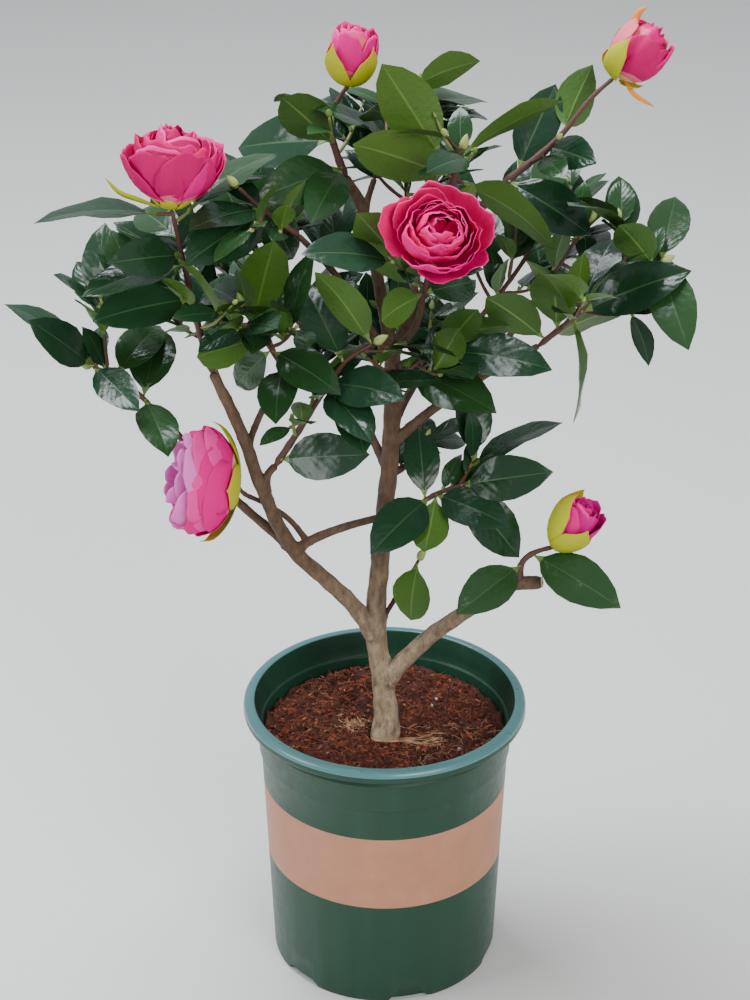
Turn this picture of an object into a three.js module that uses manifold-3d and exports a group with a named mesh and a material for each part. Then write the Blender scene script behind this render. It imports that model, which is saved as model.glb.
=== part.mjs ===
// A camellia shrub in a round nursery pot: the pot, its potting mix, the trunk, the boughs and
// the masses of foliage, each a closed solid of its own. Millimetres, +Z up, +X to the right and
// +Y to the back, with the origin at the middle of the pot's flat foot.
import * as THREE from "three";
import Module from "manifold-3d";
import { mergeVertices } from "three/addons/utils/BufferGeometryUtils.js";

const wasm = await Module();
wasm.setup();

// Clearance between pieces that touch on the real plant
const gap = 0.35;

// Pot: a thin moulded bucket with a flat rolled lip, a collar under it and notches in its foot
const potHeight = 176;
const footRadius = 69.2;
const wallFlare = 0.039;
const wallThickness = 1.6;
const floorThickness = 3;
const lipRadius = 85;
const lipDepth = 7.5;
const mouthRadius = 78.2;
const collarBottom = 143;
const beadHeight = 161;
const collarStep = 1.2;
const ledgeHeight = 160;
const potSides = 40;
const footNotches = 6;
const notchWidth = 23;
const notchHeight = 4;
const notchDepth = 4;
const firstNotch = 42.4;

// Potting mix: a dished, lumpy top that is flat where the trunk stands on it
const mixLevel = 150;
const mixRise = 4;
const mixLump = 1.3;
const mixSides = 30;
const padRadius = 17;

// Wood
const trunkSides = 12;
const boughSides = 8;
const thinBoughSides = 6;
const thinBough = 5.2;
const twigSides = 3;
const rootFlare = 0.12;
const boughTaper = 0.8;
const trunkTaper = 0.42;
const stemFootRadius = 2.2;
const stemTopRadius = 0.9;
const shootRadius = 1.2;
const shootEndRadius = 0.8;

// Leaf: the petiole and blade together, from the wood to the tip. A station is a share of that
// length, with the width there as a share of the greatest width.
const longestLeaf = 66;
const leafWidth = 0.46;
const leafThickness = 1.1;
const leafArch = 0.045;
const leafFold = 0.2;
const petioleEnd = 0.13;
const leafStations = [[-0.01, 0], [0.03, 0.06], [0.38, 1], [0.72, 0.86], [1, 0]];

// How a leaf that meets something is nudged: aside, up, turned in degrees, and resized
const nudges = [
  [0, 0, 0, 1], [1, 0, 0, 1], [-1, 0, 0, 1], [0, 1, 0, 1], [0, -1, 0, 1], [0, 0, 25, 1], [0, 0, -25, 1],
  [2, 0, 0, 1], [-2, 0, 0, 1], [0, 2, 0, 1], [0, -2, 0, 1], [0, 0, 0, 0.85], [1, 1, 0, 0.8], [-1, 1, 0, 0.8],
  [3, 0, 0, 0.9], [-3, 0, 0, 0.9], [0, 3, 0, 0.9], [0, -3, 0, 0.9], [2, 2, 45, 0.8], [-2, 2, -45, 0.8],
];

// Bloom profiles from the sepals up the outside and over to the heart: shares of the half width
// and of the depth. The rim waves once for each outer petal.
const bloomProfiles = {
  open: [[0, 0], [0.34, 0.05], [0.8, 0.34], [1, 0.7], [0.97, 0.86], [0.7, 0.88], [0.4, 1], [0, 0.98]],
  half: [[0, 0], [0.4, 0.06], [0.86, 0.34], [1, 0.68], [0.9, 0.9], [0.5, 1], [0, 0.92]],
  bud: [[0, 0], [0.5, 0.06], [0.94, 0.34], [0.96, 0.6], [0.66, 0.86], [0.2, 1], [0, 1]],
};
const bloomSides = 15;
const petals = 5;
const petalWave = 0.1;
const bloomSink = 1;

// How far a mass may reach over the border with its neighbour, and the round of the crown that
// keeps the rule's leaves behind the outline of the plain ones
const borderSlack = 10;
const crownCentre = [-8, 22, 430];
const crownHalf = [178, 132, 112];

// The angle from one leaf or shoot to the next round its stem
const goldenAngle = 137.5;

// Trunk and boughs. Each starts on the middle line of the limb named in "on", a share "at" of
// the way along it, bends through a few places and ends at its tip. "thick" is its diameter at
// the foot and at the tip. The first three numbers of a place are mm to the right, back and up.
const limbs = {
  trunk: {
    places: [[1, -3, 144], [1, -3, 156], [0, -1, 178], [-5, 1, 222], [-3, 3, 267], [3, 5, 338], [4, 5, 403]],
    thick: [16.5, 9],
  },
  left_bough: {
    on: "trunk", at: 0.28, thick: [10.5, 6],
    places: [[-23, -6, 247], [-53, -18, 286], [-69, -28, 329], [-80, -34, 369], [-94, -38, 405]],
  },
  right_low_bough: {
    on: "trunk", at: 0.16, thick: [11, 7.6],
    places: [[21, -6, 215], [38, -16, 236], [55, -26, 255], [71, -33, 270], [90, -38, 275]],
  },
  left_low_bough: {
    on: "left_bough", at: 0.4, thick: [6, 3.4],
    places: [[-87, -6, 313], [-112, 4, 340], [-134, 10, 364]],
  },
  cross_bough: {
    on: "left_bough", at: 0.39, thick: [6, 3.4],
    places: [[-42, -21, 293], [-23, -20, 301], [3, -14, 306], [20, -12, 312]],
  },
  bud_bough: {
    on: "cross_bough", at: 0.14, thick: [3.6, 2.8],
    places: [[-55, -9, 300], [-67, -12, 311], [-78, -22, 322]],
  },
  inner_bough: {
    on: "left_bough", at: 0.6, thick: [5, 4.4],
    places: [[-66, -30, 338], [-61, -32, 346]],
  },
  middle_bough: {
    on: "left_bough", at: 0.76, thick: [4, 3.2],
    places: [[-68, -24, 376], [-55, -20, 397]],
  },
  right_bough: {
    on: "trunk", at: 0.76, thick: [6.4, 3.8],
    places: [[25, 0, 364], [55, -6, 389], [85, -10, 409]],
  },
  upper_bough: {
    on: "trunk", at: 0.97, thick: [7.4, 6],
    places: [[-6, 14, 449], [-13, 19, 479], [-22, 22, 496]],
  },
  upper_right_bough: {
    on: "trunk", at: 0.98, thick: [6.4, 4.6],
    places: [[25, 16, 437], [44, 26, 464], [64, 32, 487]],
  },
  slanting_bough: {
    on: "trunk", at: 0.96, thick: [4.8, 3.4],
    places: [[-17, -4, 430], [-29, -12, 454], [-47, -20, 477]],
  },
  front_bough: {
    on: "trunk", at: 0.98, thick: [4.4, 3.4],
    places: [[16, -16, 422], [20, -34, 447]],
  },
  top_bough: {
    on: "upper_bough", at: 0.78, thick: [4, 3.4],
    places: [[-9, 22, 485], [-6, 25, 494]],
  },
  upper_centre_bough: {
    on: "upper_right_bough", at: 0.42, thick: [4.6, 4.2],
    places: [[33, 6, 472], [36, 2, 498]],
  },
  low_bough: {
    on: "trunk", at: 0.3, thick: [3.4, 2.6],
    places: [[8, 4, 244], [12, 6, 250]],
  },
  back_left_bough: {
    on: "trunk", at: 0.7, thick: [5.6, 3.6],
    places: [[-18, 28, 356], [-42, 50, 384]],
  },
  back_right_bough: {
    on: "trunk", at: 0.8, thick: [5.4, 3.6],
    places: [[20, 30, 372], [48, 50, 392]],
  },
  back_low_bough: {
    on: "trunk", at: 0.55, thick: [5, 3.4],
    places: [[0, 28, 312], [6, 52, 334]],
  },
  back_high_bough: {
    on: "upper_right_bough", at: 0.25, thick: [4.8, 3.4],
    places: [[16, 30, 440], [14, 48, 458]],
  },
  far_left_bough: {
    on: "left_bough", at: 0.72, thick: [4.4, 3.2],
    places: [[-86, -6, 366], [-98, 20, 384]],
  },
  far_right_bough: {
    on: "right_bough", at: 0.62, thick: [4.2, 3.2],
    places: [[70, 12, 406], [86, 34, 420]],
  },
};

// Masses of foliage. Each grows on from the limb named in "on", a share "at" along it, and its
// stem runs through "places". "leaves" are the leaves that show plainly from the front: how far
// up the stem each starts, its heading in degrees round from +X, its lift above level, the
// distance from stem to tip, and its turn about its own length. The seeded rule adds "shoots"
// side shoots of "each" leaves in whatever room is left.
const masses = {
  left_top_foliage: {
    on: "left_bough", at: 1, seed: 11, shoots: 10, each: 3, reach: 44,
    places: [[-100, -41, 431], [-105, -44, 461], [-110, -47, 493], [-112, -48, 504]],
    bloom: { kind: "open", across: 58, deep: 42, heading: 60, lift: 82 },
    leaves: [
      [0.45, 212, 1, 58, -35], [0.65, 213, -3, 60, -5], [0.71, 226, 11, 50, -55], [0.8, 121, 4, 50, -20],
      [0.9, 43, 20, 75, 0], [0.66, 44, 9, 56, 40], [0.95, 187, 1, 72, -5],
    ],
  },
  left_low_foliage: {
    on: "left_low_bough", at: 1, seed: 23, shoots: 5, each: 3, reach: 36,
    places: [[-151, 14, 379], [-167, 18, 384]],
    leaves: [
      [0.08, 289, -12, 53, 0], [0.12, 82, 26, 57, 0], [0.62, 65, 16, 54, 20], [0.9, 167, 36, 64, 5],
      [1, 218, 46, 52, -65], [0.97, 306, -10, 50, 20],
    ],
  },
  middle_foliage: {
    on: "middle_bough", at: 1, seed: 31, shoots: 6, each: 3, reach: 30,
    places: [[-64, -22, 414], [-74, -26, 432], [-77, -28, 440]],
    leaves: [
      [0.04, 267, -11, 50, 0], [0.31, 313, -6, 54, 35], [0.33, 132, -45, 46, -90], [0.5, 226, 6, 52, 95],
      [0.72, 321, 73, 56, -40], [1, 120, -6, 50, -25],
    ],
  },
  inner_foliage: {
    on: "inner_bough", at: 1, seed: 43, shoots: 5, each: 2, reach: 26,
    places: [[-46, -36, 372], [-36, -38, 390], [-22, -40, 412], [-6, -42, 424]],
    leaves: [
      [0.04, 337, 14, 56, 60], [0.59, 298, -9, 55, 15], [0.63, 317, 10, 54, 45], [0.78, 120, 34, 58, -15],
      [0.98, 180, 56, 52, 70],
    ],
  },
  hanging_flower: {
    on: "bud_bough", at: 1, seed: 53, shoots: 0, each: 0, reach: 0,
    places: [[-81, -26, 327], [-83, -28, 329]],
    bloom: { kind: "half", across: 54, deep: 42, heading: 190, lift: 8 },
    leaves: [],
  },
  upper_left_foliage: {
    on: "slanting_bough", at: 1, seed: 61, shoots: 10, each: 3, reach: 36,
    places: [[-66, -28, 495], [-78, -33, 509]],
    leaves: [[0.5, 228, -10, 60, -40], [0.58, 224, 4, 55, -20], [0.62, 49, -54, 48, 95], [1, 77, 7, 50, 5]],
  },
  top_left_foliage: {
    on: "upper_bough", at: 1, seed: 71, shoots: 7, each: 3, reach: 34,
    places: [[-27, 24, 509], [-31, 26, 526], [-25, 26, 539], [-19, 26, 547]],
    bloom: { kind: "bud", across: 28, deep: 34, heading: 20, lift: 84 },
    leaves: [[0.04, 215, -4, 58, -50], [0.05, 238, -19, 50, -25], [0.31, 226, 43, 54, 50], [0.36, 148, -13, 66, -55]],
  },
  top_foliage: {
    on: "top_bough", at: 1, seed: 83, shoots: 6, each: 3, reach: 32,
    places: [[2, 30, 515], [7, 32, 527], [15, 34, 543]],
    leaves: [[0.42, 205, 29, 52, -20], [0.62, 246, 24, 45, 40], [0.76, 33, -5, 58, 10], [1, 46, 7, 48, -80]],
  },
  upper_centre_foliage: {
    on: "upper_centre_bough", at: 1, seed: 97, shoots: 6, each: 2, reach: 26,
    places: [[39, 0, 511], [41, -1, 519]],
    leaves: [[0.06, 206, 25, 68, 80], [0.13, 180, 59, 78, 85], [0.16, 329, -21, 70, -65], [0.8, 26, 20, 66, -50]],
  },
  upper_right_foliage: {
    on: "upper_right_bough", at: 1, seed: 101, shoots: 6, each: 2, reach: 28,
    places: [[94, 38, 511], [112, 42, 533], [126, 43, 546]],
    bloom: { kind: "bud", across: 36, deep: 38, heading: 0, lift: 50 },
    leaves: [[0.04, 321, -18, 60, 45], [0.13, 53, 49, 56, 20], [0.38, 300, 6, 44, 45], [0.51, 65, 32, 50, -140]],
  },
  front_foliage: {
    on: "front_bough", at: 1, seed: 113, shoots: 3, each: 2, reach: 24,
    places: [[22, -45, 464], [25, -54, 479]],
    bloom: { kind: "open", across: 63, deep: 40, heading: 275, lift: 34 },
    leaves: [[0.02, 233, -3, 42, 105], [0.05, 50, -9, 46, 45], [0.13, 199, 53, 64, 70]],
  },
  centre_foliage: {
    on: "trunk", at: 0.92, seed: 127, shoots: 5, each: 2, reach: 28,
    places: [[12, -8, 393], [21, -18, 404], [32, -26, 412]],
    leaves: [[0.4, 319, -6, 62, 40], [0.83, 123, -64, 50, -115], [0.96, 314, 52, 44, -50], [1, 336, 2, 62, 25]],
  },
  right_foliage: {
    on: "right_bough", at: 1, seed: 131, shoots: 9, each: 3, reach: 34,
    places: [[102, -12, 425], [128, -10, 445], [150, -6, 456]],
    leaves: [
      [0.06, 205, 41, 52, 70], [0.09, 30, 9, 56, -65], [0.16, 257, 62, 56, 0], [0.3, 271, -39, 64, -95],
      [0.36, 64, 33, 56, 5], [0.36, 347, 28, 66, 45], [0.95, 223, 46, 46, 45], [1, 75, 28, 52, 0],
      [1, 282, -31, 57, 5],
    ],
  },
  cross_foliage: {
    on: "cross_bough", at: 1, seed: 149, shoots: 3, each: 2, reach: 24,
    places: [[31, -16, 321], [48, -22, 330], [59, -26, 333]],
    leaves: [
      [0.08, 97, 31, 52, 0], [0.15, 234, -10, 56, -25], [0.24, 317, 1, 54, 40], [0.26, 260, -21, 46, 150],
      [0.58, 351, -50, 56, 55], [0.6, 333, 19, 56, 55], [1, 304, -12, 52, -20],
    ],
  },
  trunk_side_foliage: {
    on: "trunk", at: 0.68, seed: 151, shoots: 1, each: 2, reach: 22,
    places: [[16, 8, 330], [22, 12, 339]],
    leaves: [[0.74, 84, 7, 44, 0], [0.95, 60, -12, 42, 30]],
  },
  low_foliage: {
    on: "low_bough", at: 1, seed: 163, shoots: 0, each: 0, reach: 0,
    places: [[16, 8, 256], [20, 9, 264]],
    leaves: [[0.92, 263, -17, 50, 155]],
  },
  low_right_foliage: {
    on: "right_low_bough", at: 0.9, seed: 173, shoots: 3, each: 2, reach: 26,
    places: [[77, -37, 286], [84, -38, 294], [97, -41, 300]],
    bloom: { kind: "bud", across: 28, deep: 35, heading: 350, lift: 58 },
    leaves: [[0.31, 120, 1, 46, -25], [0.34, 225, -11, 54, -30], [0.59, 321, -12, 62, 35]],
  },
  back_left_foliage: {
    on: "back_left_bough", at: 1, seed: 181, shoots: 9, each: 3, reach: 40,
    places: [[-58, 66, 404], [-72, 80, 424], [-80, 88, 446]],
    leaves: [],
  },
  back_right_foliage: {
    on: "back_right_bough", at: 1, seed: 191, shoots: 9, each: 3, reach: 40,
    places: [[66, 66, 408], [82, 80, 426], [92, 86, 446]],
    leaves: [],
  },
  back_low_foliage: {
    on: "back_low_bough", at: 1, seed: 193, shoots: 6, each: 3, reach: 36,
    places: [[8, 72, 350], [8, 92, 368]],
    leaves: [],
  },
  back_high_foliage: {
    on: "back_high_bough", at: 1, seed: 199, shoots: 9, each: 3, reach: 36,
    places: [[12, 64, 476], [14, 78, 496]],
    leaves: [],
  },
  far_left_foliage: {
    on: "far_left_bough", at: 1, seed: 211, shoots: 7, each: 3, reach: 34,
    places: [[-108, 38, 402], [-116, 52, 422]],
    leaves: [],
  },
  far_right_foliage: {
    on: "far_right_bough", at: 1, seed: 223, shoots: 7, each: 3, reach: 34,
    places: [[102, 50, 438], [116, 60, 456]],
    leaves: [],
  },
};

// Materials
const finish = (color, roughness, metalness = 0) => new THREE.MeshStandardMaterial({ color, roughness, metalness });
const potPlastic = finish(0x2d5f4e, 0.42);
const pottingBark = finish(0x5a3122, 0.95);
const bark = finish(0x8f7a64, 0.85);
const leafGreen = finish(0x244a30, 0.35);

const up = new THREE.Vector3(0, 0, 1);
const radians = THREE.MathUtils.degToRad;
const mix = (a, b, share) => a + (b - a) * share;
const point = ([x, y, z]) => new THREE.Vector3(x, y, z);

// A vector of length 1 that points to a heading in degrees and a lift above level.
function pointing(heading, lift) {
  const level = Math.cos(radians(lift));
  return new THREE.Vector3(
    level * Math.cos(radians(heading)),
    level * Math.sin(radians(heading)),
    Math.sin(radians(lift)),
  );
}

// Even random numbers from 0 to 1, the same ones on every run for the same seed.
function dice(seed) {
  let state = seed;
  return () => {
    state = (Math.imul(state, 1664525) + 1013904223) >>> 0;
    return state / 4294967296;
  };
}

// The middle line of a limb: a smooth curve through its places, as a few straight steps from
// each place to the next.
function middleLine(places, stepsEach = 2) {
  const curve = new THREE.CatmullRomCurve3(places, false, "catmullrom", 0.5);
  const points = curve.getPoints(stepsEach * (places.length - 1));
  const lengths = [0];
  points.slice(1).forEach((at, i) => lengths.push(lengths[i] + at.distanceTo(points[i])));
  return { points, lengths, total: lengths.at(-1) };
}

// The place on a middle line at a share of its length, and the way it runs there.
function along(line, share) {
  const wanted = THREE.MathUtils.clamp(share, 0, 1) * line.total;
  let i = 1;
  while (i < line.points.length - 1 && line.lengths[i] < wanted) i += 1;
  const part = (wanted - line.lengths[i - 1]) / (line.lengths[i] - line.lengths[i - 1]);
  return {
    at: line.points[i - 1].clone().lerp(line.points[i], part),
    ahead: line.points[i].clone().sub(line.points[i - 1]).normalize(),
  };
}

// A closed mesh as a solid for cutting and joining.
function solid(geometry) {
  geometry.deleteAttribute("normal");
  geometry.deleteAttribute("uv");
  const merged = mergeVertices(geometry, 1e-3);
  return new wasm.Manifold(
    new wasm.Mesh({
      numProp: 3,
      vertProperties: Float32Array.from(merged.attributes.position.array),
      triVerts: Uint32Array.from(merged.index.array),
    }),
  );
}

// A solid as a named mesh. Only its largest body is kept, so a scrap is dropped and a sealed
// hollow is filled.
function piece(name, shape, material) {
  const bodies = shape.decompose();
  bodies.sort((a, b) => b.volume() - a.volume());
  const made = bodies[0].getMesh();
  const positions = new Float32Array(made.numVert * 3);
  for (let i = 0; i < made.numVert; i += 1) {
    positions.set(made.vertProperties.subarray(i * made.numProp, i * made.numProp + 3), i * 3);
  }
  const geometry = new THREE.BufferGeometry();
  geometry.setAttribute("position", new THREE.BufferAttribute(positions, 3));
  geometry.setIndex(new THREE.BufferAttribute(Uint32Array.from(made.triVerts), 1));
  const mesh = new THREE.Mesh(geometry, material);
  mesh.name = name;
  return mesh;
}

// A cylinder bent along a middle line, a ring at each of the line's points, square to the line
// there and not twisted. radiusAt gives the radius at a share of the length, and swell makes
// the limb larger all round.
function limbSolid(line, radiusAt, sides, swell = 0) {
  const steps = line.points.length - 1;
  const geometry = new THREE.CylinderGeometry(1, 1, 1, sides, steps);
  const rings = [];
  let across = new THREE.Vector3(1, 0, 0);
  line.points.forEach((here, i) => {
    const before = line.points[Math.max(0, i - 1)];
    const after = line.points[Math.min(steps, i + 1)];
    const ahead = after.clone().sub(before).normalize();
    const at = here.clone();
    if (i === 0) at.addScaledVector(ahead, -swell);
    if (i === steps) at.addScaledVector(ahead, swell);
    across = across.clone().addScaledVector(ahead, -across.dot(ahead)).normalize();
    const radius = radiusAt(line.lengths[i] / line.total) + swell;
    rings.push({ at, across, over: across.clone().cross(ahead), radius });
  });
  const corners = geometry.attributes.position;
  const corner = new THREE.Vector3();
  for (let i = 0; i < corners.count; i += 1) {
    corner.fromBufferAttribute(corners, i);
    const ring = rings[Math.round((corner.y + 0.5) * steps)];
    const place = ring.at.clone();
    place.addScaledVector(ring.across, corner.x * ring.radius);
    place.addScaledVector(ring.over, corner.z * ring.radius);
    corners.setXYZ(i, place.x, place.y, place.z);
  }
  return solid(geometry);
}

// Pot

// The outer wall's radius at a height.
const wallRadius = (height) => footRadius + wallFlare * height;

function potSolid() {
  const innerWall = (height) => wallRadius(height) - wallThickness;
  const lipBottom = potHeight - lipDepth;
  const outline = [
    [0, 0],
    [footRadius, 0],
    [wallRadius(collarBottom), collarBottom],
    [wallRadius(collarBottom) + collarStep, collarBottom + collarStep],
    [wallRadius(beadHeight) + collarStep, beadHeight],
    [wallRadius(beadHeight) + 2 * collarStep, beadHeight + 1],
    [wallRadius(lipBottom) + collarStep, lipBottom],
    [lipRadius - 1, lipBottom],
    [lipRadius, lipBottom + 1.5],
    [lipRadius - 0.4, potHeight - 2],
    [lipRadius - 2, potHeight - 0.4],
    [lipRadius - 3.5, potHeight],
    [mouthRadius + 1, potHeight],
    [mouthRadius, potHeight - 1],
    [innerWall(ledgeHeight) + 1.4, ledgeHeight + 5],
    [innerWall(ledgeHeight) + 1, ledgeHeight],
    [innerWall(ledgeHeight), ledgeHeight - 1],
    [innerWall(floorThickness), floorThickness],
    [0, floorThickness],
  ];
  const profile = outline.map(([radius, height]) => new THREE.Vector2(radius, height));
  const bucket = new THREE.LatheGeometry(profile, potSides);
  bucket.rotateX(Math.PI / 2);
  let shape = solid(bucket);
  for (let i = 0; i < footNotches; i += 1) {
    const notch = new THREE.BoxGeometry(2 * notchDepth, notchWidth, 2 * notchHeight);
    notch.translate(footRadius, 0, 0);
    notch.rotateZ(radians(firstNotch + (i * 360) / footNotches));
    shape = shape.subtract(solid(notch));
  }
  return shape;
}

// Potting mix

// The height of the mix at a place: dished towards the trunk, with lumps but for the flat pad.
function mixHeight(x, y) {
  const reach = Math.hypot(x, y);
  if (reach < padRadius) return mixLevel - gap;
  const lump = Math.sin(0.31 * x + 1.3) * Math.cos(0.27 * y) + 0.6 * Math.sin(0.17 * x - 0.43 * y);
  const share = (reach - padRadius) / (footRadius - padRadius);
  return mixLevel - gap + mixRise * Math.min(1, share) + mixLump * lump * Math.min(1, 4 * share);
}

function mixSolid() {
  const edge = (height) => wallRadius(height) - wallThickness - gap;
  const edgeHeight = mixLevel + mixRise;
  const outline = [[0, floorThickness + gap], [edge(floorThickness), floorThickness + gap]];
  outline.push([edge(edgeHeight), edgeHeight]);
  for (const radius of [62, 50, 38, 27, padRadius - 1]) outline.push([radius, edgeHeight]);
  outline.push([0, edgeHeight]);
  const profile = outline.map(([radius, height]) => new THREE.Vector2(radius, height));
  const fill = new THREE.LatheGeometry(profile, mixSides);
  fill.rotateX(Math.PI / 2);
  const corners = fill.attributes.position;
  for (let i = 0; i < corners.count; i += 1) {
    const reach = Math.hypot(corners.getX(i), corners.getY(i));
    if (corners.getZ(i) > mixLevel && reach < edge(edgeHeight) - 1) {
      corners.setZ(i, mixHeight(corners.getX(i), corners.getY(i)));
    }
  }
  return solid(fill);
}

// Limbs

const lines = {};
const radii = {};

for (const [name, limb] of Object.entries(limbs)) {
  const places = limb.places.map(point);
  if (limb.on) places.unshift(along(lines[limb.on], limb.at).at);
  lines[name] = middleLine(places);
  const [foot, tip] = limb.thick;
  const flare = limb.on ? 0 : rootFlare;
  const taper = limb.on ? boughTaper : trunkTaper;
  radii[name] = (share) => (mix(foot, tip, share ** taper) / 2) * (1 + flare * Math.exp(-14 * share));
}

function limbShape(name, swell) {
  const wide = limbs[name].thick[0];
  const sides = name === "trunk" ? trunkSides : wide > thinBough ? boughSides : thinBoughSides;
  return limbSolid(lines[name], radii[name], sides, swell);
}

const shapes = {};

// Each limb is cut back, a gap clear, by the limbs before it, which hold the fork.
Object.keys(limbs).forEach((name, i) => {
  let shape = limbShape(name, 0);
  for (const earlier of Object.keys(limbs).slice(0, i)) shape = shape.subtract(limbShape(earlier, gap));
  shapes[name] = shape;
});

// The trunk's foot is cut flat where it meets the mix.
const below = new THREE.BoxGeometry(60, 60, 40);
below.translate(0, 0, mixLevel - 20);
shapes.trunk = shapes.trunk.subtract(solid(below));

// Foliage

// The room that is taken: every limb, stem, twig, leaf and bloom, with the piece it belongs to.
// A leaf has its blade apart, since the leaves of one twig may meet at their petioles.
const taken = [];

function take(owner, whole, blade = whole) {
  const entry = { owner, whole, blade, box: whole.boundingBox() };
  taken.push(entry);
  return entry;
}

for (const name of Object.keys(limbs)) take(name, limbShape(name, 0));

const boxesMeet = (a, b) => [0, 1, 2].every((i) => a.min[i] <= b.max[i] && b.min[i] <= a.max[i]);
const meet = (a, b) => !a.intersect(b).isEmpty();

// Whether a shape, grown by the gap all round, is clear of all that is taken. Inside its own
// mass only its blade is compared, and not with what it grows from.
function isClear(owner, parent, whole, blade) {
  const box = whole.boundingBox();
  return !taken.some((entry) => {
    if (entry === parent || !boxesMeet(box, entry.box)) return false;
    return entry.owner === owner ? meet(blade, entry.blade) : meet(whole, entry.whole);
  });
}

// A mass's own space is the room nearer to its own stem and plain leaves than to any other's,
// and a little way over that border.
const skeleton = [];

function inOwnSpace(owner, at) {
  const inCrown = at.toArray().map((v, i) => (v - crownCentre[i]) / crownHalf[i]);
  if (Math.hypot(...inCrown) > 1) return false;
  let own = Infinity;
  let other = Infinity;
  for (const bone of skeleton) {
    const far = bone.at.distanceTo(at);
    if (bone.owner === owner) own = Math.min(own, far);
    else other = Math.min(other, far);
  }
  return own < other + borderSlack;
}

// A leaf's own directions: ahead to its tip, across it, and out of its upper side, which faces
// as far up as it can before the leaf is turned about its own length.
function leafFrame(ahead, turn) {
  const side = ahead.clone().cross(up).normalize();
  const top = side.clone().cross(ahead);
  const face = top.multiplyScalar(Math.cos(radians(turn))).addScaledVector(side, Math.sin(radians(turn)));
  return { ahead, face, across: ahead.clone().cross(face) };
}

// A leaf as a sphere of few faces drawn out from the wood to the tip: each ring of four corners
// becomes the two edges, the upper and the under side at one station. It starts at a share of
// its length and can be swollen all round.
function leafSolid(leaf, from = leafStations[0][0], swell = 0) {
  const rings = leafStations.length - 1;
  const geometry = new THREE.SphereGeometry(1, 4, rings);
  const corners = geometry.attributes.position;
  const shares = geometry.attributes.uv;
  for (let i = 0; i < corners.count; i += 1) {
    const ring = Math.round(rings * shares.getY(i));
    const [station, wide] = leafStations[ring];
    const round = Math.hypot(corners.getX(i), corners.getZ(i));
    const atEnd = ring === 0 || ring === rings;
    const edge = atEnd ? 0 : Math.round(corners.getX(i) / round);
    const above = atEnd ? 0 : Math.round(corners.getZ(i) / round);
    const share = Math.max(station, from);
    const half = (wide * leaf.span * leafWidth) / 2 + swell;
    const rise = leafArch * leaf.span * 4 * share * (1 - share) + leafFold * Math.abs(edge) * half;
    const place = leaf.root.clone();
    place.addScaledVector(leaf.ahead, share * leaf.span + swell * ((2 * ring) / rings - 1));
    place.addScaledVector(leaf.across, edge * half);
    place.addScaledVector(leaf.face, rise + above * (leafThickness / 2 + swell));
    corners.setXYZ(i, place.x, place.y, place.z);
  }
  return solid(geometry);
}

// A bloom as a turned profile whose rim waves in and out with the petals.
function bloomSolid(bloom, foot) {
  const profile = bloomProfiles[bloom.kind].map(
    ([wide, deep]) => new THREE.Vector2((wide * bloom.across) / 2, deep * bloom.deep),
  );
  const geometry = new THREE.LatheGeometry(profile, bloomSides);
  const corners = geometry.attributes.position;
  for (let i = 0; i < corners.count; i += 1) {
    const round = Math.atan2(corners.getZ(i), corners.getX(i));
    const wave = 1 - (petalWave * (1 - Math.cos(petals * round))) / 2;
    corners.setXYZ(i, corners.getX(i) * wave, corners.getY(i), corners.getZ(i) * wave);
  }
  const facing = pointing(bloom.heading, bloom.lift);
  geometry.applyQuaternion(new THREE.Quaternion().setFromUnitVectors(new THREE.Vector3(0, 1, 0), facing));
  geometry.translate(foot.x, foot.y, foot.z);
  return solid(geometry);
}

const masses3d = {};

// Every stem and bloom first, so that no leaf is laid across one.
for (const [name, mass] of Object.entries(masses)) {
  const start = along(lines[mass.on], mass.at).at;
  const line = middleLine([start, ...mass.places.map(point)]);
  const foot = Math.min(limbs[mass.on].thick[1] / 2 - 0.2, stemFootRadius);
  const stem = limbSolid(line, (share) => mix(foot, stemTopRadius, share), twigSides);
  lines[name] = line;
  masses3d[name] = [stem];
  mass.stem = take(name, stem);
  for (let i = 0; i <= 8; i += 1) skeleton.push({ owner: name, at: along(line, i / 8).at });
  if (mass.bloom) {
    const { at, ahead } = along(line, 1);
    const bloom = bloomSolid(mass.bloom, at.clone().addScaledVector(ahead, -bloomSink));
    masses3d[name].push(bloom);
    take(name, bloom);
  }
}

// A leaf is tried as it comes and then nudged: aside, up or down, turned, or made smaller. One
// that leaves its mass's own space or meets anything even so is left out.
function growLeaf(owner, parent, from, way, reach, turn, sway, anywhere) {
  const side = way.clone().cross(up).normalize();
  const top = side.clone().cross(way);
  for (const [aside, lifted, turned, size] of nudges) {
    const ahead = way.clone().addScaledVector(side, sway * aside).addScaledVector(top, sway * lifted).normalize();
    const span = Math.min(reach, longestLeaf) * size;
    const root = from.clone().addScaledVector(ahead, Math.max(0, reach - longestLeaf));
    const leaf = { root, span, ...leafFrame(ahead, turn + turned) };
    const tip = root.clone().addScaledVector(ahead, span);
    const waist = root.clone().addScaledVector(ahead, span / 2);
    const inside = anywhere || (inOwnSpace(owner, tip) && inOwnSpace(owner, waist));
    if (inside && isClear(owner, parent, leafSolid(leaf, undefined, gap), leafSolid(leaf, petioleEnd, gap))) {
      if (reach > longestLeaf) growTwig(owner, middleLine([from, root.clone().addScaledVector(ahead, 3)], 1));
      const whole = leafSolid(leaf);
      masses3d[owner].push(whole);
      take(owner, whole, leafSolid(leaf, petioleEnd));
      return leaf;
    }
  }
  return null;
}

function growTwig(owner, line) {
  const twig = limbSolid(line, (share) => mix(shootRadius, shootEndRadius, share), twigSides);
  masses3d[owner].push(twig);
  return take(owner, twig);
}

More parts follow.
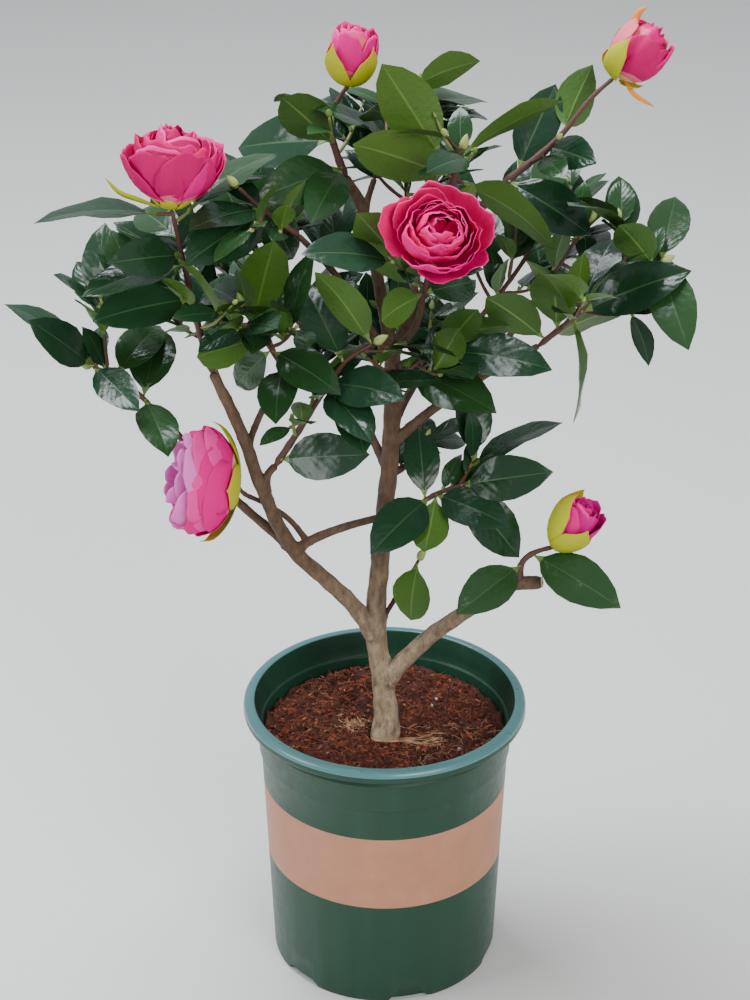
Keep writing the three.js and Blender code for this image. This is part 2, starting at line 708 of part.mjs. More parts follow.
// The plain leaves, which start clear of the limb that the stem leaves.
for (const [name, mass] of Object.entries(masses)) {
  const buried = (radii[mass.on](mass.at) + 2) / lines[name].total;
  for (const [start, heading, lift, reach, turn] of mass.leaves) {
    const from = along(lines[name], Math.max(start, Math.min(buried, 0.5))).at;
    const leaf = growLeaf(name, mass.stem, from, pointing(heading, lift), reach, turn, 0.1, true);
    for (let i = 1; leaf && i <= 4; i += 1) {
      skeleton.push({ owner: name, at: leaf.root.clone().addScaledVector(leaf.ahead, (leaf.span * i) / 4) });
    }
  }
}

// The seeded rule: side shoots leave the stem a golden angle apart and bend up, and leaves leave
// each shoot by turns, pressed towards the level, the last one straight on.
for (const [name, mass] of Object.entries(masses)) {
  const roll = dice(mass.seed);
  for (let i = 0; i < mass.shoots; i += 1) {
    const share = mix(0.15, 1, (i + 0.5) / mass.shoots);
    const { at, ahead } = along(lines[name], share);
    const side = ahead.clone().cross(up).normalize();
    const over = side.clone().cross(ahead);
    const round = radians(i * goldenAngle + 60 * roll());
    const open = radians(mix(45, 75, roll()));
    const long = mass.reach * mix(1.1, 0.7, share) * mix(0.8, 1.15, roll());
    const out = side.multiplyScalar(Math.cos(round)).addScaledVector(over, Math.sin(round));
    const way = ahead.clone().multiplyScalar(Math.cos(open)).addScaledVector(out, Math.sin(open));
    const half = at.clone().addScaledVector(way, long / 2);
    const end = at.clone().addScaledVector(way, long).addScaledVector(up, 0.18 * long);
    const line = middleLine([at, half, end], 1);
    const spare = limbSolid(line, () => shootRadius + gap, twigSides);
    const grows = inOwnSpace(name, half) && inOwnSpace(name, end) && isClear(name, mass.stem, spare, spare);
    const shoot = grows ? growTwig(name, line) : null;
    for (let k = 0; k < mass.each; k += 1) {
      const node = along(line, mix(0.35, 1, (k + 1) / mass.each));
      const last = k === mass.each - 1;
      const spread = radians(last ? 8 : mix(40, 65, roll()));
      const turned = radians(k * goldenAngle + 60 * roll());
      const span = mix(46, 60, roll());
      const turn = mix(-30, 30, roll());
      const flank = node.ahead.clone().cross(up).normalize();
      const crown = flank.clone().cross(node.ahead);
      const aside = flank.multiplyScalar(Math.cos(turned)).addScaledVector(crown, 0.5 * Math.sin(turned));
      const leafWay = node.ahead.clone().multiplyScalar(Math.cos(spread));
      leafWay.addScaledVector(aside, Math.sin(spread)).addScaledVector(up, 0.12).normalize();
      if (shoot) growLeaf(name, shoot, node.at, leafWay, span, turn, 0.25, false);
    }
  }
}

// The whole plant and its pot

const shrub = new THREE.Group();
shrub.name = "camellia_shrub";
shrub.add(piece("pot", potSolid(), potPlastic));
shrub.add(piece("potting_mix", mixSolid(), pottingBark));
for (const name of Object.keys(limbs)) shrub.add(piece(name, shapes[name], bark));
const allLimbs = wasm.Manifold.union(Object.keys(limbs).map((name) => limbShape(name, gap)));
for (const name of Object.keys(masses)) {
  shrub.add(piece(name, wasm.Manifold.union(masses3d[name]).subtract(allLimbs), leafGreen));
}

export default shrub;
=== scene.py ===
# %% [markdown]
# # A camellia shrub in a nursery pot
# This lesson dresses a plain solid model of a potted camellia. The solids give the sizes: a pot, its
# potting mix, a trunk, boughs, and masses of foliage. Here each of them gets its real surface: turned
# plastic, damp bark chips, ridged bark, and leaves, twigs, buds and blooms grown by the same rule as the
# solids. All tables are in millimetres, +Z up and +X to the right, and a mesh is scaled to metres when it
# is made.

import math

import bpy
import bmesh
import numpy as np
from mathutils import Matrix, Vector
from mathutils.bvhtree import BVHTree


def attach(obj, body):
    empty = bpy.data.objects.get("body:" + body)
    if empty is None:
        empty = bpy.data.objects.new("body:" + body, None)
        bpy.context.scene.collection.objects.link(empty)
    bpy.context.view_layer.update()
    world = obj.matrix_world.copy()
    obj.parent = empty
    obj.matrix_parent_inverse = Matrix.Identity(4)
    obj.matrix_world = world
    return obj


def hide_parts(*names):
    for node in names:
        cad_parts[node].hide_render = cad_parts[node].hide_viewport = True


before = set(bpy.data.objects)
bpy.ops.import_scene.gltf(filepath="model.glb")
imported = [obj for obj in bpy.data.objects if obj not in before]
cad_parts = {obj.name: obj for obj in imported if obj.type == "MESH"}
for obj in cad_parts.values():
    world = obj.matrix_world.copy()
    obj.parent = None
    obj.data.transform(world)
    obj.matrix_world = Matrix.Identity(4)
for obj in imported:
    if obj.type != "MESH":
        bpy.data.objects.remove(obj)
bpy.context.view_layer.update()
MM = 0.001

# %% [markdown]
# ## Camera
# The photo looks down on the plant by about 27 degrees from a little over a metre in front of it and 0.9 m
# up, through a long lens. Placing a real camera at that point gives the same foreshortening of the pot's
# round mouth as the photo, which a camera moved by eye seldom does.

# %% Camera
LOOK_DOWN = math.radians(26.91)
LENS = 82.46
CAMERA_AT = (-0.00579, -1.17708, 0.90548)
camera_data = bpy.data.cameras.new("camera")
camera_data.lens = LENS
camera = bpy.data.objects.new("camera", camera_data)
camera.location = CAMERA_AT
camera.rotation_euler = (math.pi / 2 - LOOK_DOWN, 0, 0)
bpy.context.scene.collection.objects.link(camera)
bpy.context.scene.camera = camera
print("camera at", tuple(camera.location), "lens", camera_data.lens)

# %% [markdown]
# ## Meshes from arrays
# Every surface below is a grid of points worked out in one go with numpy: rows along the shape, columns
# across or round it. Many such grids go into one mesh. Points that fall together, such as a tube's end or a
# leaf's tip, are then merged, so each shape is closed.

# %% Grids to meshes


def grid_faces(rows, columns, count=1):
    """Four-cornered faces of count grids that follow one another.

    The corners of a face are (i, j), (i, j + 1), (i + 1, j + 1) and (i + 1, j)."""
    i, j = np.meshgrid(np.arange(rows - 1), np.arange(columns - 1), indexing="ij")
    first = (i * columns + j).ravel()
    quads = np.stack([first, first + 1, first + columns + 1, first + columns], axis=1)
    starts = np.arange(count) * rows * columns
    return (quads[None] + starts[:, None, None]).reshape(-1, 4)


class Sheets:
    """Grids of points for one mesh, with a texture place for each point and a finish for each face."""

    def __init__(self):
        self.points, self.faces, self.places, self.finishes, self.values, self.total = [], [], [], [], [], 0

    def add(self, points, finish=0, places=(0.0, 0.0), value=0.0, rolled=None):
        """Adds grids shaped (count, rows, columns, 3). finish is one number, or one for each grid or face.

        A rolled face starts one corner later, so that it is cut in two along its other diagonal."""
        count, rows, columns, _ = points.shape
        faces = grid_faces(rows, columns, count)
        if rolled is not None:
            faces[rolled] = np.roll(faces[rolled], -1, axis=1)
        each = np.asarray(finish)
        if each.shape == (count,):
            each = np.repeat(each, (rows - 1) * (columns - 1))
        self.points.append(points.reshape(-1, 3))
        self.faces.append(faces + self.total)
        self.places.append(np.broadcast_to(places, points.shape[:3] + (2,)).reshape(-1, 2))
        self.finishes.append(np.broadcast_to(each, len(faces)).astype(np.int32))
        self.values.append(np.broadcast_to(value, points.shape[:3]).ravel())
        self.total += count * rows * columns

    def piece(self, name, materials, slot, replaces=(), merge=2e-6):
        """Makes the mesh in metres, merges points closer than merge, and rides it on the root body."""
        mesh = bpy.data.meshes.new(name)
        faces = np.concatenate(self.faces)
        mesh.from_pydata((np.concatenate(self.points) * MM).tolist(), [], faces.tolist())
        uv = mesh.uv_layers.new(name="UVMap")
        uv.data.foreach_set("uv", np.concatenate(self.places)[faces.ravel()].astype(np.float32).ravel())
        mesh.polygons.foreach_set("material_index", np.concatenate(self.finishes))
        mesh.polygons.foreach_set("use_smooth", np.ones(len(faces), dtype=bool))
        value = mesh.attributes.new("value", "FLOAT", "POINT")
        value.data.foreach_set("value", np.concatenate(self.values).astype(np.float32))
        soft = bmesh.new()
        soft.from_mesh(mesh)
        bmesh.ops.remove_doubles(soft, verts=soft.verts, dist=merge)
        soft.to_mesh(mesh)
        soft.free()
        for material in materials:
            mesh.materials.append(material)
        obj = bpy.data.objects.new(name, mesh)
        bpy.context.scene.collection.objects.link(obj)
        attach(obj, "root")
        if replaces:
            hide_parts(*replaces)
        print(name, "faces:", len(mesh.polygons))
        return obj


# %% [markdown]
# ## Finishes from nodes
# Each finish starts from Blender's Principled shader. A number that is the same all over is set on the
# shader itself. What changes over the surface, such as streaks, damp or veins, comes from a few texture
# nodes that read Object coordinates or the piece's own texture places, so it stays put from every side.

# %% Node helpers


def finish(name, color, roughness, **sockets):
    """A new material: its colour and roughness, and any other socket by name with _ for a space."""
    material = bpy.data.materials.new(name)
    material.use_nodes = True
    shader = material.node_tree.nodes["Principled BSDF"]
    shader.inputs["Base Color"].default_value = (*color, 1)
    shader.inputs["Roughness"].default_value = roughness
    for socket, value in sockets.items():
        shader.inputs[socket.replace("_", " ")].default_value = value
    return material


def add_node(material, kind, links=(), **settings):
    """A node in the material's tree: links are pairs of input name and socket or value, settings its own."""
    made = material.node_tree.nodes.new(kind)
    for key, value in settings.items():
        setattr(made, key, value)
    for key, value in links:
        if isinstance(value, bpy.types.NodeSocket):
            material.node_tree.links.new(value, made.inputs[key])
        else:
            made.inputs[key].default_value = value
    return made


def coordinates(material, kind="Object"):
    """The socket of Object coordinates, or of the piece's own texture places with kind UV."""
    return add_node(material, "ShaderNodeTexCoord").outputs[kind]


def stretched(material, place, scale):
    """A place with each of its directions scaled, so that a pattern on it is drawn out along the smallest."""
    return add_node(material, "ShaderNodeMapping", [("Vector", place), ("Scale", scale)]).outputs["Vector"]


def noise(material, place, scale, detail=4.0, roughness=0.55):
    """Cloudy noise between 0 and 1, scale lumps to the metre."""
    links = [("Vector", place), ("Scale", scale), ("Detail", detail), ("Roughness", roughness)]
    return add_node(material, "ShaderNodeTexNoise", links).outputs["Fac"]


def ramp(material, source, stops):
    """Colours dealt out along a number from 0 to 1: stops are (place, colour)."""
    made = add_node(material, "ShaderNodeValToRGB", [("Fac", source)])
    while len(made.color_ramp.elements) < len(stops):
        made.color_ramp.elements.new(0.5)
    for element, (place, color) in zip(made.color_ramp.elements, stops):
        element.position = place
        element.color = (*color, 1)
    return made.outputs["Color"]


def spread(material, source, low, high):
    """A number from 0 to 1 spread between low and high."""
    links = [("Value", source), ("To Min", low), ("To Max", high)]
    return add_node(material, "ShaderNodeMapRange", links).outputs["Result"]


def arith(material, operation, first, second=0.0):
    """One sum: ADD, SUBTRACT, MULTIPLY, ABSOLUTE or SINE."""
    return add_node(material, "ShaderNodeMath", [(0, first), (1, second)], operation=operation).outputs[0]


def feed(material, socket, source):
    """Links a source into one of the shader's sockets."""
    material.node_tree.links.new(source, material.node_tree.nodes["Principled BSDF"].inputs[socket])


def bump(material, height, distance):
    """Raises the surface by a height from 0 to 1 times distance in metres, in the shading alone."""
    links = [("Height", height), ("Distance", distance)]
    feed(material, "Normal", add_node(material, "ShaderNodeBump", links).outputs["Normal"])


# %% [markdown]
# ## Floor and light
# The plant was photographed under an even, bright sky, and the leaves are wet, so each one mirrors a patch
# of that sky. A wide, cool softbox overhead does the same work in the studio. A weaker, warmer one fills in
# from the camera's side, and a pale floor throws light back up under the leaves.

# %% Floor and light
FLOOR_HALF = 14.0
SKY_COLOR, SKY_STRENGTH = (0.86, 0.9, 0.95), 0.68
floor_mesh = bpy.data.meshes.new("floor")
floor_corners = [(x * FLOOR_HALF, y * FLOOR_HALF, 0) for x, y in ((-1, -1), (1, -1), (1, 1), (-1, 1))]
floor_mesh.from_pydata(floor_corners, [], [(0, 1, 2, 3)])
floor_mesh.materials.append(finish("pale floor", (0.62, 0.62, 0.6), 0.8))
floor = bpy.data.objects.new("floor", floor_mesh)
bpy.context.scene.collection.objects.link(floor)


def softbox(name, place, aim, size, watts, color):
    """A square area light of that size in metres at a place, turned to face the aim."""
    data = bpy.data.lights.new(name, "AREA")
    data.size = size
    data.energy = watts
    data.color = color
    lamp = bpy.data.objects.new(name, data)
    lamp.location = place
    lamp.rotation_euler = (Vector(aim) - Vector(place)).to_track_quat("-Z", "Y").to_euler()
    bpy.context.scene.collection.objects.link(lamp)


softbox("sky", (-0.5, 0.5, 2.1), (0, 0, 0.4), 1.0, 66, (0.9, 0.95, 1.0))
softbox("front fill", (0.9, -1.8, 1.5), (0, 0, 0.35), 1.3, 41, (1.0, 0.97, 0.93))
softbox("left edge", (-1.7, -0.5, 1.2), (0, 0, 0.4), 0.9, 20, (0.95, 0.98, 1.0))
world = bpy.data.worlds.new("studio")
world.use_nodes = True
sky = world.node_tree.nodes["Background"]
sky.inputs["Color"].default_value = (*SKY_COLOR, 1)
sky.inputs["Strength"].default_value = SKY_STRENGTH
bpy.context.scene.world = world

# %% [markdown]
# ## Pot
# The pot is a thin bucket, blown or moulded in one piece: a slightly flaring wall, a collar and a bead
# under a wide rolled lip, a ledge inside the mouth and six notches in the foot for drainage. A turned shape
# is a profile carried round an axis. The plain solid has few sides, so the same profile is carried round
# again here in 160 steps, with more points on the lip.

# %% Pot profile
POT_HEIGHT, FOOT_RADIUS, WALL_FLARE, WALL = 176.0, 69.2, 0.039, 1.6
COLLAR, BEAD, LEDGE, LIP_DEPTH, LIP_RADIUS, MOUTH_RADIUS = 143.0, 161.0, 160.0, 7.5, 85.0, 78.2
BAND_LOW, BAND_HIGH, FLOOR_THICKNESS, LIP_ROUNDING = 72.0, 122.5, 3.0, 3.4
LIP_LOW, LIP_CENTRE, LIP_TURN = POT_HEIGHT - LIP_DEPTH, LIP_RADIUS - LIP_ROUNDING, POT_HEIGHT - LIP_ROUNDING
# Height, and how far the collar and the bead stand out from the wall there.
RIDGES = [
    (COLLAR, 0.3), (COLLAR + 0.7, 1.05), (COLLAR + 1.4, 1.2), (BEAD - 0.8, 1.2), (BEAD - 0.2, 1.7),
    (BEAD + 0.5, 2.4), (BEAD + 1.4, 2.3), (BEAD + 2.2, 1.4), (LIP_LOW - 0.5, 1.2), (LIP_LOW, 1.8),
]


def wall_radius(height):
    """The outer wall's radius at a height: the foot's radius and an even flare."""
    return FOOT_RADIUS + WALL_FLARE * np.asarray(height, dtype=float)


def pot_profile():
    """The outline from the middle of the underside, up the outside, over the lip and down to the floor."""
    wall_heights = [4.5, 20, 45, BAND_LOW - 0.2, BAND_LOW, 97, BAND_HIGH, BAND_HIGH + 0.2, COLLAR - 0.6]
    turn = np.radians(np.arange(0, 91, 15))
    inner = float(wall_radius(LEDGE)) - WALL
    return np.array([
        (0, 0), (40, 0), (65.0, 0), (65.4, 0.2), (FOOT_RADIUS - 0.6, 0.0), (FOOT_RADIUS, 0.6),
        *[(float(wall_radius(height)), height) for height in wall_heights],
        *[(float(wall_radius(height)) + step, height) for height, step in RIDGES],
        (LIP_RADIUS - 1.4, LIP_LOW), (LIP_RADIUS - 0.4, LIP_LOW + 0.4), (LIP_RADIUS, LIP_LOW + 1.4),
        *[(LIP_CENTRE + LIP_ROUNDING * math.cos(a), LIP_TURN + LIP_ROUNDING * math.sin(a)) for a in turn],
        (LIP_RADIUS - 4.6, POT_HEIGHT - 0.05), (MOUTH_RADIUS + 0.9, POT_HEIGHT - 0.05),
        (MOUTH_RADIUS + 0.2, POT_HEIGHT - 0.4), (MOUTH_RADIUS, POT_HEIGHT - 1.2),
        (inner + 1.7, LEDGE + 6), (inner + 1.3, LEDGE + 0.5), (inner + 1.0, LEDGE),
        (inner + 0.2, LEDGE - 0.3), (inner, LEDGE - 1),
        *[(float(wall_radius(height)) - WALL, height) for height in (140, 100, 50, FLOOR_THICKNESS)],
        (0, FLOOR_THICKNESS),
    ])


profile = pot_profile()
print("points in the pot's profile:", len(profile))

# %% [markdown]
# Carried round, the profile is a grid: its points are the rows, the steps round the axis the columns. The
# notches lift the foot's rows by a smooth step of the distance from the nearest notch's middle. The paler
# printed band and the lip are the same surface, and only their faces take another finish.

# %% Pot shell
POT_SIDES, LIP_FACES_INSIDE = 160, 3
NOTCHES, FIRST_NOTCH, NOTCH_HALF, NOTCH_EDGE, NOTCH_LIFTS = 6, 42.4, 11.5, 2.2, (2.4, 3.8)


def turned(profile, sides):
    """Carries a profile of (radius, height) round the Z axis: point = (r cos a, r sin a, h)."""
    angle = np.linspace(0, 2 * np.pi, sides + 1)
    radius, height = profile[:, 0][:, None], profile[:, 1][:, None]
    return np.stack([radius * np.cos(angle), radius * np.sin(angle), height + 0 * angle], axis=-1), angle


pot_points, around = turned(profile, POT_SIDES)
pitch = 360 / NOTCHES
from_notch = np.abs((np.degrees(around) - FIRST_NOTCH + pitch / 2) % pitch - pitch / 2)
from_notch = from_notch * FOOT_RADIUS * np.pi / 180
notch = 1 / (1 + np.exp((from_notch - NOTCH_HALF) * NOTCH_EDGE))
foot_rows = (profile[:, 0] > 65.2) & (profile[:, 1] < 1)
lift = np.where(profile[foot_rows, 0] < 66, *NOTCH_LIFTS)
pot_points[foot_rows, :, 2] += lift[:, None] * notch
middle = (profile[1:, 1] + profile[:-1, 1]) / 2
number, top_row = np.arange(len(middle)), np.argmax(profile[:, 1])
band_rows = (number < top_row) & (middle > BAND_LOW) & (middle < BAND_HIGH)
# The rounded top of the lip and a few faces inside it take the paler lip finish, a painted highlight.
lip_highlight_rows = (middle > POT_HEIGHT - 3.2) & (number < top_row + LIP_FACES_INSIDE)
pot_finish = np.repeat(band_rows + 2 * lip_highlight_rows, POT_SIDES)
lengths = np.concatenate([[0], np.cumsum(np.hypot(*np.diff(profile, axis=0).T))])
pot_places = np.stack(np.meshgrid(lengths * MM, around / (2 * np.pi), indexing="ij"), axis=-1)
pot_shell = Sheets()
pot_shell.add(pot_points[None], pot_finish, pot_places[None])
print("pot grid:", pot_points.shape[:2])

# %% [markdown]
# The plastic is a dark blue-green with a soft shine, and it carries faint upright streaks of dried water.
# The top of its lip is painted much paler and bluer, as a painted highlight. Fine noise in the roughness
# breaks up the shine so that it does not look like glass.

# %% Pot finishes
plastic = finish("green pot plastic", (0.009, 0.046, 0.025), 0.36, Specular_IOR_Level=0.35)
place = coordinates(plastic)
streak = noise(plastic, stretched(plastic, place, (60, 60, 5)), 1.0, 5)
feed(plastic, "Base Color", ramp(plastic, streak, [
    (0.3, (0.007, 0.039, 0.021)), (0.55, (0.0095, 0.048, 0.027)), (0.8, (0.017, 0.062, 0.038))]))
feed(plastic, "Roughness", spread(plastic, noise(plastic, place, 220, 6), 0.24, 0.52))
bump(plastic, noise(plastic, place, 900, 3), 0.00012)

print_band = finish("bare printed band", (0.42, 0.185, 0.107), 0.5)
place = coordinates(print_band)
feed(print_band, "Base Color", ramp(print_band, noise(print_band, place, 70, 6), [
    (0.25, (0.41, 0.175, 0.1)), (0.6, (0.45, 0.2, 0.115)), (0.85, (0.5, 0.24, 0.15))]))
feed(print_band, "Roughness", spread(print_band, noise(print_band, place, 300, 4), 0.4, 0.62))
bump(print_band, noise(print_band, place, 900, 3), 0.0001)

# Painted highlight: the lip's top is painted a paler, bluer green than the wall.
lip = finish("lip plastic with painted highlight", (0.06, 0.185, 0.19), 0.3, Coat_Weight=0.3, Coat_Roughness=0.15)
feed(lip, "Roughness", spread(lip, noise(lip, coordinates(lip), 180, 5), 0.18, 0.45))
pot_shell.piece("dressed_pot", [plastic, print_band, lip], "pot_plastic", replaces=["pot"])

# %% [markdown]
# ## Potting mix
# The pot is filled with a damp mix of composted bark and coconut fibre: small dark red-brown chips, paler
# threads, and a few white crumbs. A lumpy disc gives the ground: rings of points whose height is a function
# of their place. It is dished towards the trunk, and loose pieces will lie on it.

# %% Potting mix: ground
MIX_LEVEL, MIX_RISE, MIX_LUMP, PAD_RADIUS, GAP = 150.0, 4.0, 1.6, 17.0, 0.35
MIX_RINGS, MIX_SIDES, CRUMB, SKIRT_DEPTH = 46, 150, 0.7, 12


def mix_lump(x, y):
    """Lumps and hollows: four waves, two long and two short, that cross at odd angles."""
    long = np.sin(0.31 * x + 1.3) * np.cos(0.27 * y) + 0.6 * np.sin(0.17 * x - 0.43 * y)
    return long + 0.6 * np.sin(0.83 * x + 2.0) * np.sin(0.71 * y + 0.5) + 0.5 * np.sin(0.52 * x + 0.95 * y)


def mix_height(x, y):
    """The mix's height at a place: dished towards the trunk, with lumps away from the pad under it."""
    reach = np.hypot(x, y)
    share = np.clip((reach - PAD_RADIUS) / (FOOT_RADIUS - PAD_RADIUS), 0, 1)
    return MIX_LEVEL - GAP + MIX_RISE * share + MIX_LUMP * mix_lump(x, y) * np.clip(4 * share, 0, 1)


rng = np.random.default_rng(7)
mix_edge = float(wall_radius(MIX_LEVEL)) - WALL - 0.4
reach = np.concatenate([[0], np.linspace(3, mix_edge, MIX_RINGS)])
disc, around = turned(np.stack([reach, 0 * reach], axis=1), MIX_SIDES)
crumbs = rng.normal(0, CRUMB, disc.shape[:2])
crumbs[:, -1] = crumbs[:, 0]
crumbs[0] = crumbs[0, 0]
disc[..., 2] = mix_height(disc[..., 0], disc[..., 1]) + crumbs
skirt = disc[-1:] * np.array([1, 1, 0]) + np.array([0, 0, MIX_LEVEL - SKIRT_DEPTH])
ground = np.concatenate([disc, skirt, skirt * np.array([0, 0, 1])])
mix_sheets = Sheets()
mix_sheets.add(ground[None, :, ::-1], places=ground[None, :, ::-1, :2] * MM)
print("mix from", round(disc[..., 2].min(), 1), "to", round(disc[..., 2].max(), 1), "mm high")

# %% [markdown]
# On the ground lie hundreds of chips, each a shard of a few faces in its own size and turn. Loose pieces
# give the crumbly edge that bump alone cannot. Every piece in a hollow is painted dark, as painted shade.

# %% Potting mix: chips
CHIPS, GRAINS, SHADED_HOLLOW = 1300, 10, -0.35
DARK_CHIP_AND_SHADE, RED_CHIP, BROWN_CHIP, PALE_CHIP, WHITE_CRUMB, COIR, ROOT_PALE = range(7)


def scatter(count, least, most):
    """Even random places between two radii: radius = square root of an even number between their squares."""
    radius = np.sqrt(rng.uniform(least ** 2, most ** 2, count))
    angle = rng.uniform(0, 2 * np.pi, count)
    x, y = radius * np.cos(angle), radius * np.sin(angle)
    return np.stack([x, y, mix_height(x, y)], axis=1)


def random_turns(count, steep):
    """Three square directions for each piece: a random heading, tipped by about steep radians."""
    heading, tip = rng.uniform(0, 2 * np.pi, count), rng.normal(0, steep, count)
    level = np.stack([np.cos(heading), np.sin(heading), 0 * heading], axis=1)
    side = np.stack([-np.sin(heading), np.cos(heading), 0 * heading], axis=1)
    rise = np.array([0, 0, 1.0])
    long = level * np.cos(tip)[:, None] + rise * np.sin(tip)[:, None]
    return long, side, np.cross(long, side)


def shards(centres, size, steep):
    """Shards of eight faces: two end points, and a ring of four corners between them, each pushed about."""
    count = len(centres)
    long, side, top = random_turns(count, steep)
    ring = np.array([(1, 0), (0, 1), (-1, 0), (0, -1), (1, 0)], dtype=float)
    wobble = rng.uniform(0.7, 1.3, (count, 5, 1))
    wobble[:, 4] = wobble[:, 0]
    along_ring = rng.uniform(-0.3, 0.3, (count, 5, 1))
    along_ring[:, 4] = along_ring[:, 0]
    corners = (ring[None] * wobble) * size[:, None, 1:]
    middle_row = (centres[:, None] + side[:, None] * corners[..., :1] + top[:, None] * corners[..., 1:]
                  + long[:, None] * along_ring * size[:, None, :1])
    ends = [np.repeat((centres + s * long * size[:, :1])[:, None], 5, axis=1) for s in (-1, 1)]
    return np.stack([ends[0], middle_row, ends[1]], axis=1)


def dealt(places, kinds, shares):
    """A finish for each loose piece: dark in the hollows as painted shade, elsewhere one of the kinds by its
    share.
    """
    kinds = rng.choice(kinds, len(places), p=shares)
    # Painted shade: every chip and fibre in a hollow takes the dark bark finish.
    kinds[mix_lump(places[:, 0], places[:, 1]) < SHADED_HOLLOW] = DARK_CHIP_AND_SHADE
    return kinds


chip_long = rng.lognormal(0.8, 0.4, CHIPS)
chip_size = np.stack([chip_long, rng.uniform(0.7, 1.8, CHIPS), rng.uniform(0.4, 1.3, CHIPS)], axis=1)
chip_size = np.clip(chip_size, 0.4, 6.5)
chip_at = scatter(CHIPS, 9.5, mix_edge - 3.2) + np.array([0, 0, 0.5])
chips = shards(chip_at, chip_size, 0.5)
chip_kinds = dealt(chip_at, [DARK_CHIP_AND_SHADE, RED_CHIP, BROWN_CHIP, PALE_CHIP], [0.3, 0.34, 0.26, 0.1])
mix_sheets.add(chips, chip_kinds)
grain_at = scatter(GRAINS, 14, mix_edge - 4) + np.array([0, 0, 0.9])
mix_sheets.add(shards(grain_at, rng.uniform(0.8, 1.7, (GRAINS, 3)), 0.6), WHITE_CRUMB)
print("chips:", CHIPS, "white crumbs:", GRAINS)

# %% [markdown]
# Coconut fibre is thin and springy, so each thread bends like a bow: its middle stands a little off the mix
# and its ends go in. A thread is a tube with few sides, and all of them are one array of rings.

# %% Potting mix: fibres
FIBRES, BOW_ROWS = 2600, 6


def units(vectors):
    """Each vector divided by its length."""
    return vectors / np.linalg.norm(vectors, axis=-1, keepdims=True)


def tubes(paths, radius, sides):
    """Round threads along many paths shaped (count, rows, 3).

    Each row is a ring square to the path: point = place + r (across cos a + over sin a). The end rings have
    no radius, so the ends are drawn to a point."""
    ahead = units(np.gradient(paths, axis=1))
    across = units(np.cross(ahead, (0.31, 0.2, 0.93)))
    over = np.cross(ahead, across)
    angle = np.linspace(0, 2 * np.pi, sides + 1)
    open_rows = np.array([0] + [1] * (paths.shape[1] - 2) + [0])[None, :, None, None]
    rows = np.broadcast_to(radius, paths.shape[:2])[..., None, None] * open_rows
    ring = across[:, :, None] * np.cos(angle)[:, None] + over[:, :, None] * np.sin(angle)[:, None]
    return paths[:, :, None] + rows * ring


bow = np.linspace(-1, 1, BOW_ROWS)[None, :, None]
fibre_at = scatter(FIBRES, 10, mix_edge - 5)
long, side, _ = random_turns(FIBRES, 0.25)
reach = np.clip(rng.lognormal(1.1, 0.5, FIBRES), 1, 9)[:, None, None]
bend = rng.normal(0, 0.45, FIBRES)[:, None, None]
fibre_paths = fibre_at[:, None] + reach * (bow * long[:, None] + bend * bow ** 2 * side[:, None])
fibre_paths[..., 2] += 1.0 + 0.9 * (1 - bow[..., 0] ** 2)
fibre_kinds = [DARK_CHIP_AND_SHADE, RED_CHIP, BROWN_CHIP, PALE_CHIP, COIR]
fibre_kinds = dealt(fibre_at, fibre_kinds, [0.15, 0.33, 0.2, 0.12, 0.2])
pale_side = (fibre_at[:, 0] > 12) & (fibre_at[:, 1] < 4) & (rng.uniform(0, 1, FIBRES) < 0.3)
fibre_kinds[pale_side] = ROOT_PALE
mix_sheets.add(tubes(fibre_paths, rng.uniform(0.1, 0.22, (FIBRES, 1)), 4), fibre_kinds)
print("fibres:", FIBRES, "of them pale:", pale_side.sum())

# %% [markdown]
# Three pale things catch the eye at the trunk's foot: a strand of root that runs right as a bundle of
# threads, one thin root that curls out in front, and a tuft of coir at the left. All are tubes laid on the
# mix.

# %% Potting mix: roots and coir
STRAND = [[3, -9, 0], [12, -13, 1.0], [24, -14, 0.8], [38, -12, 0.2]]
ROOT = [[-8, -8, 0.2], [-6, -12, 0.9], [2, -14, 1.3], [11, -13, 1.2], [22, -16, 0.8], [36, -19, 0.4]]
STRAND_THREADS, STRAND_ROWS, ROOT_ROWS, ROOT_RADII = 12, 9, 21, (1.1, 0.4)
TUFT_AT, TUFT_THREADS, TUFT_SPREAD = np.array([-17.0, 9.0]), 110, np.array([4.6, 3.6])


def straight_path(places, runs):
    """Points on the straight lines through places: a run of 1.5 is half way from the second to the third."""
    return np.stack([np.interp(runs, range(len(places)), row) for row in np.transpose(places)], axis=1)


def laid(paths):
    """Paths laid on the mix: each height grows by the mix's height there and a little more."""
    paths[..., 2] += mix_height(paths[..., 0], paths[..., 1]) + 1.2
    return paths


runs = np.linspace(0, len(STRAND) - 1, STRAND_ROWS)
apart = 0.3 + runs[None, :, None] * 0.8
drift = rng.normal(0, 1, (STRAND_THREADS, 1, 3)) * np.array([0.8, 1.6, 0.3]) * apart
strand = straight_path(STRAND, runs)[None] + drift + rng.normal(0, 0.25, (STRAND_THREADS, STRAND_ROWS, 3))
mix_sheets.add(tubes(laid(strand), rng.uniform(0.16, 0.34, (STRAND_THREADS, 1)), 5), ROOT_PALE)

root = straight_path(ROOT, np.linspace(0, len(ROOT) - 1, ROOT_ROWS))[None]
root[:, 1:-1] = (root[:, :-2] + root[:, 1:-1] + root[:, 2:]) / 3
mix_sheets.add(tubes(laid(root), np.linspace(*ROOT_RADII, ROOT_ROWS)[None], 6), ROOT_PALE)

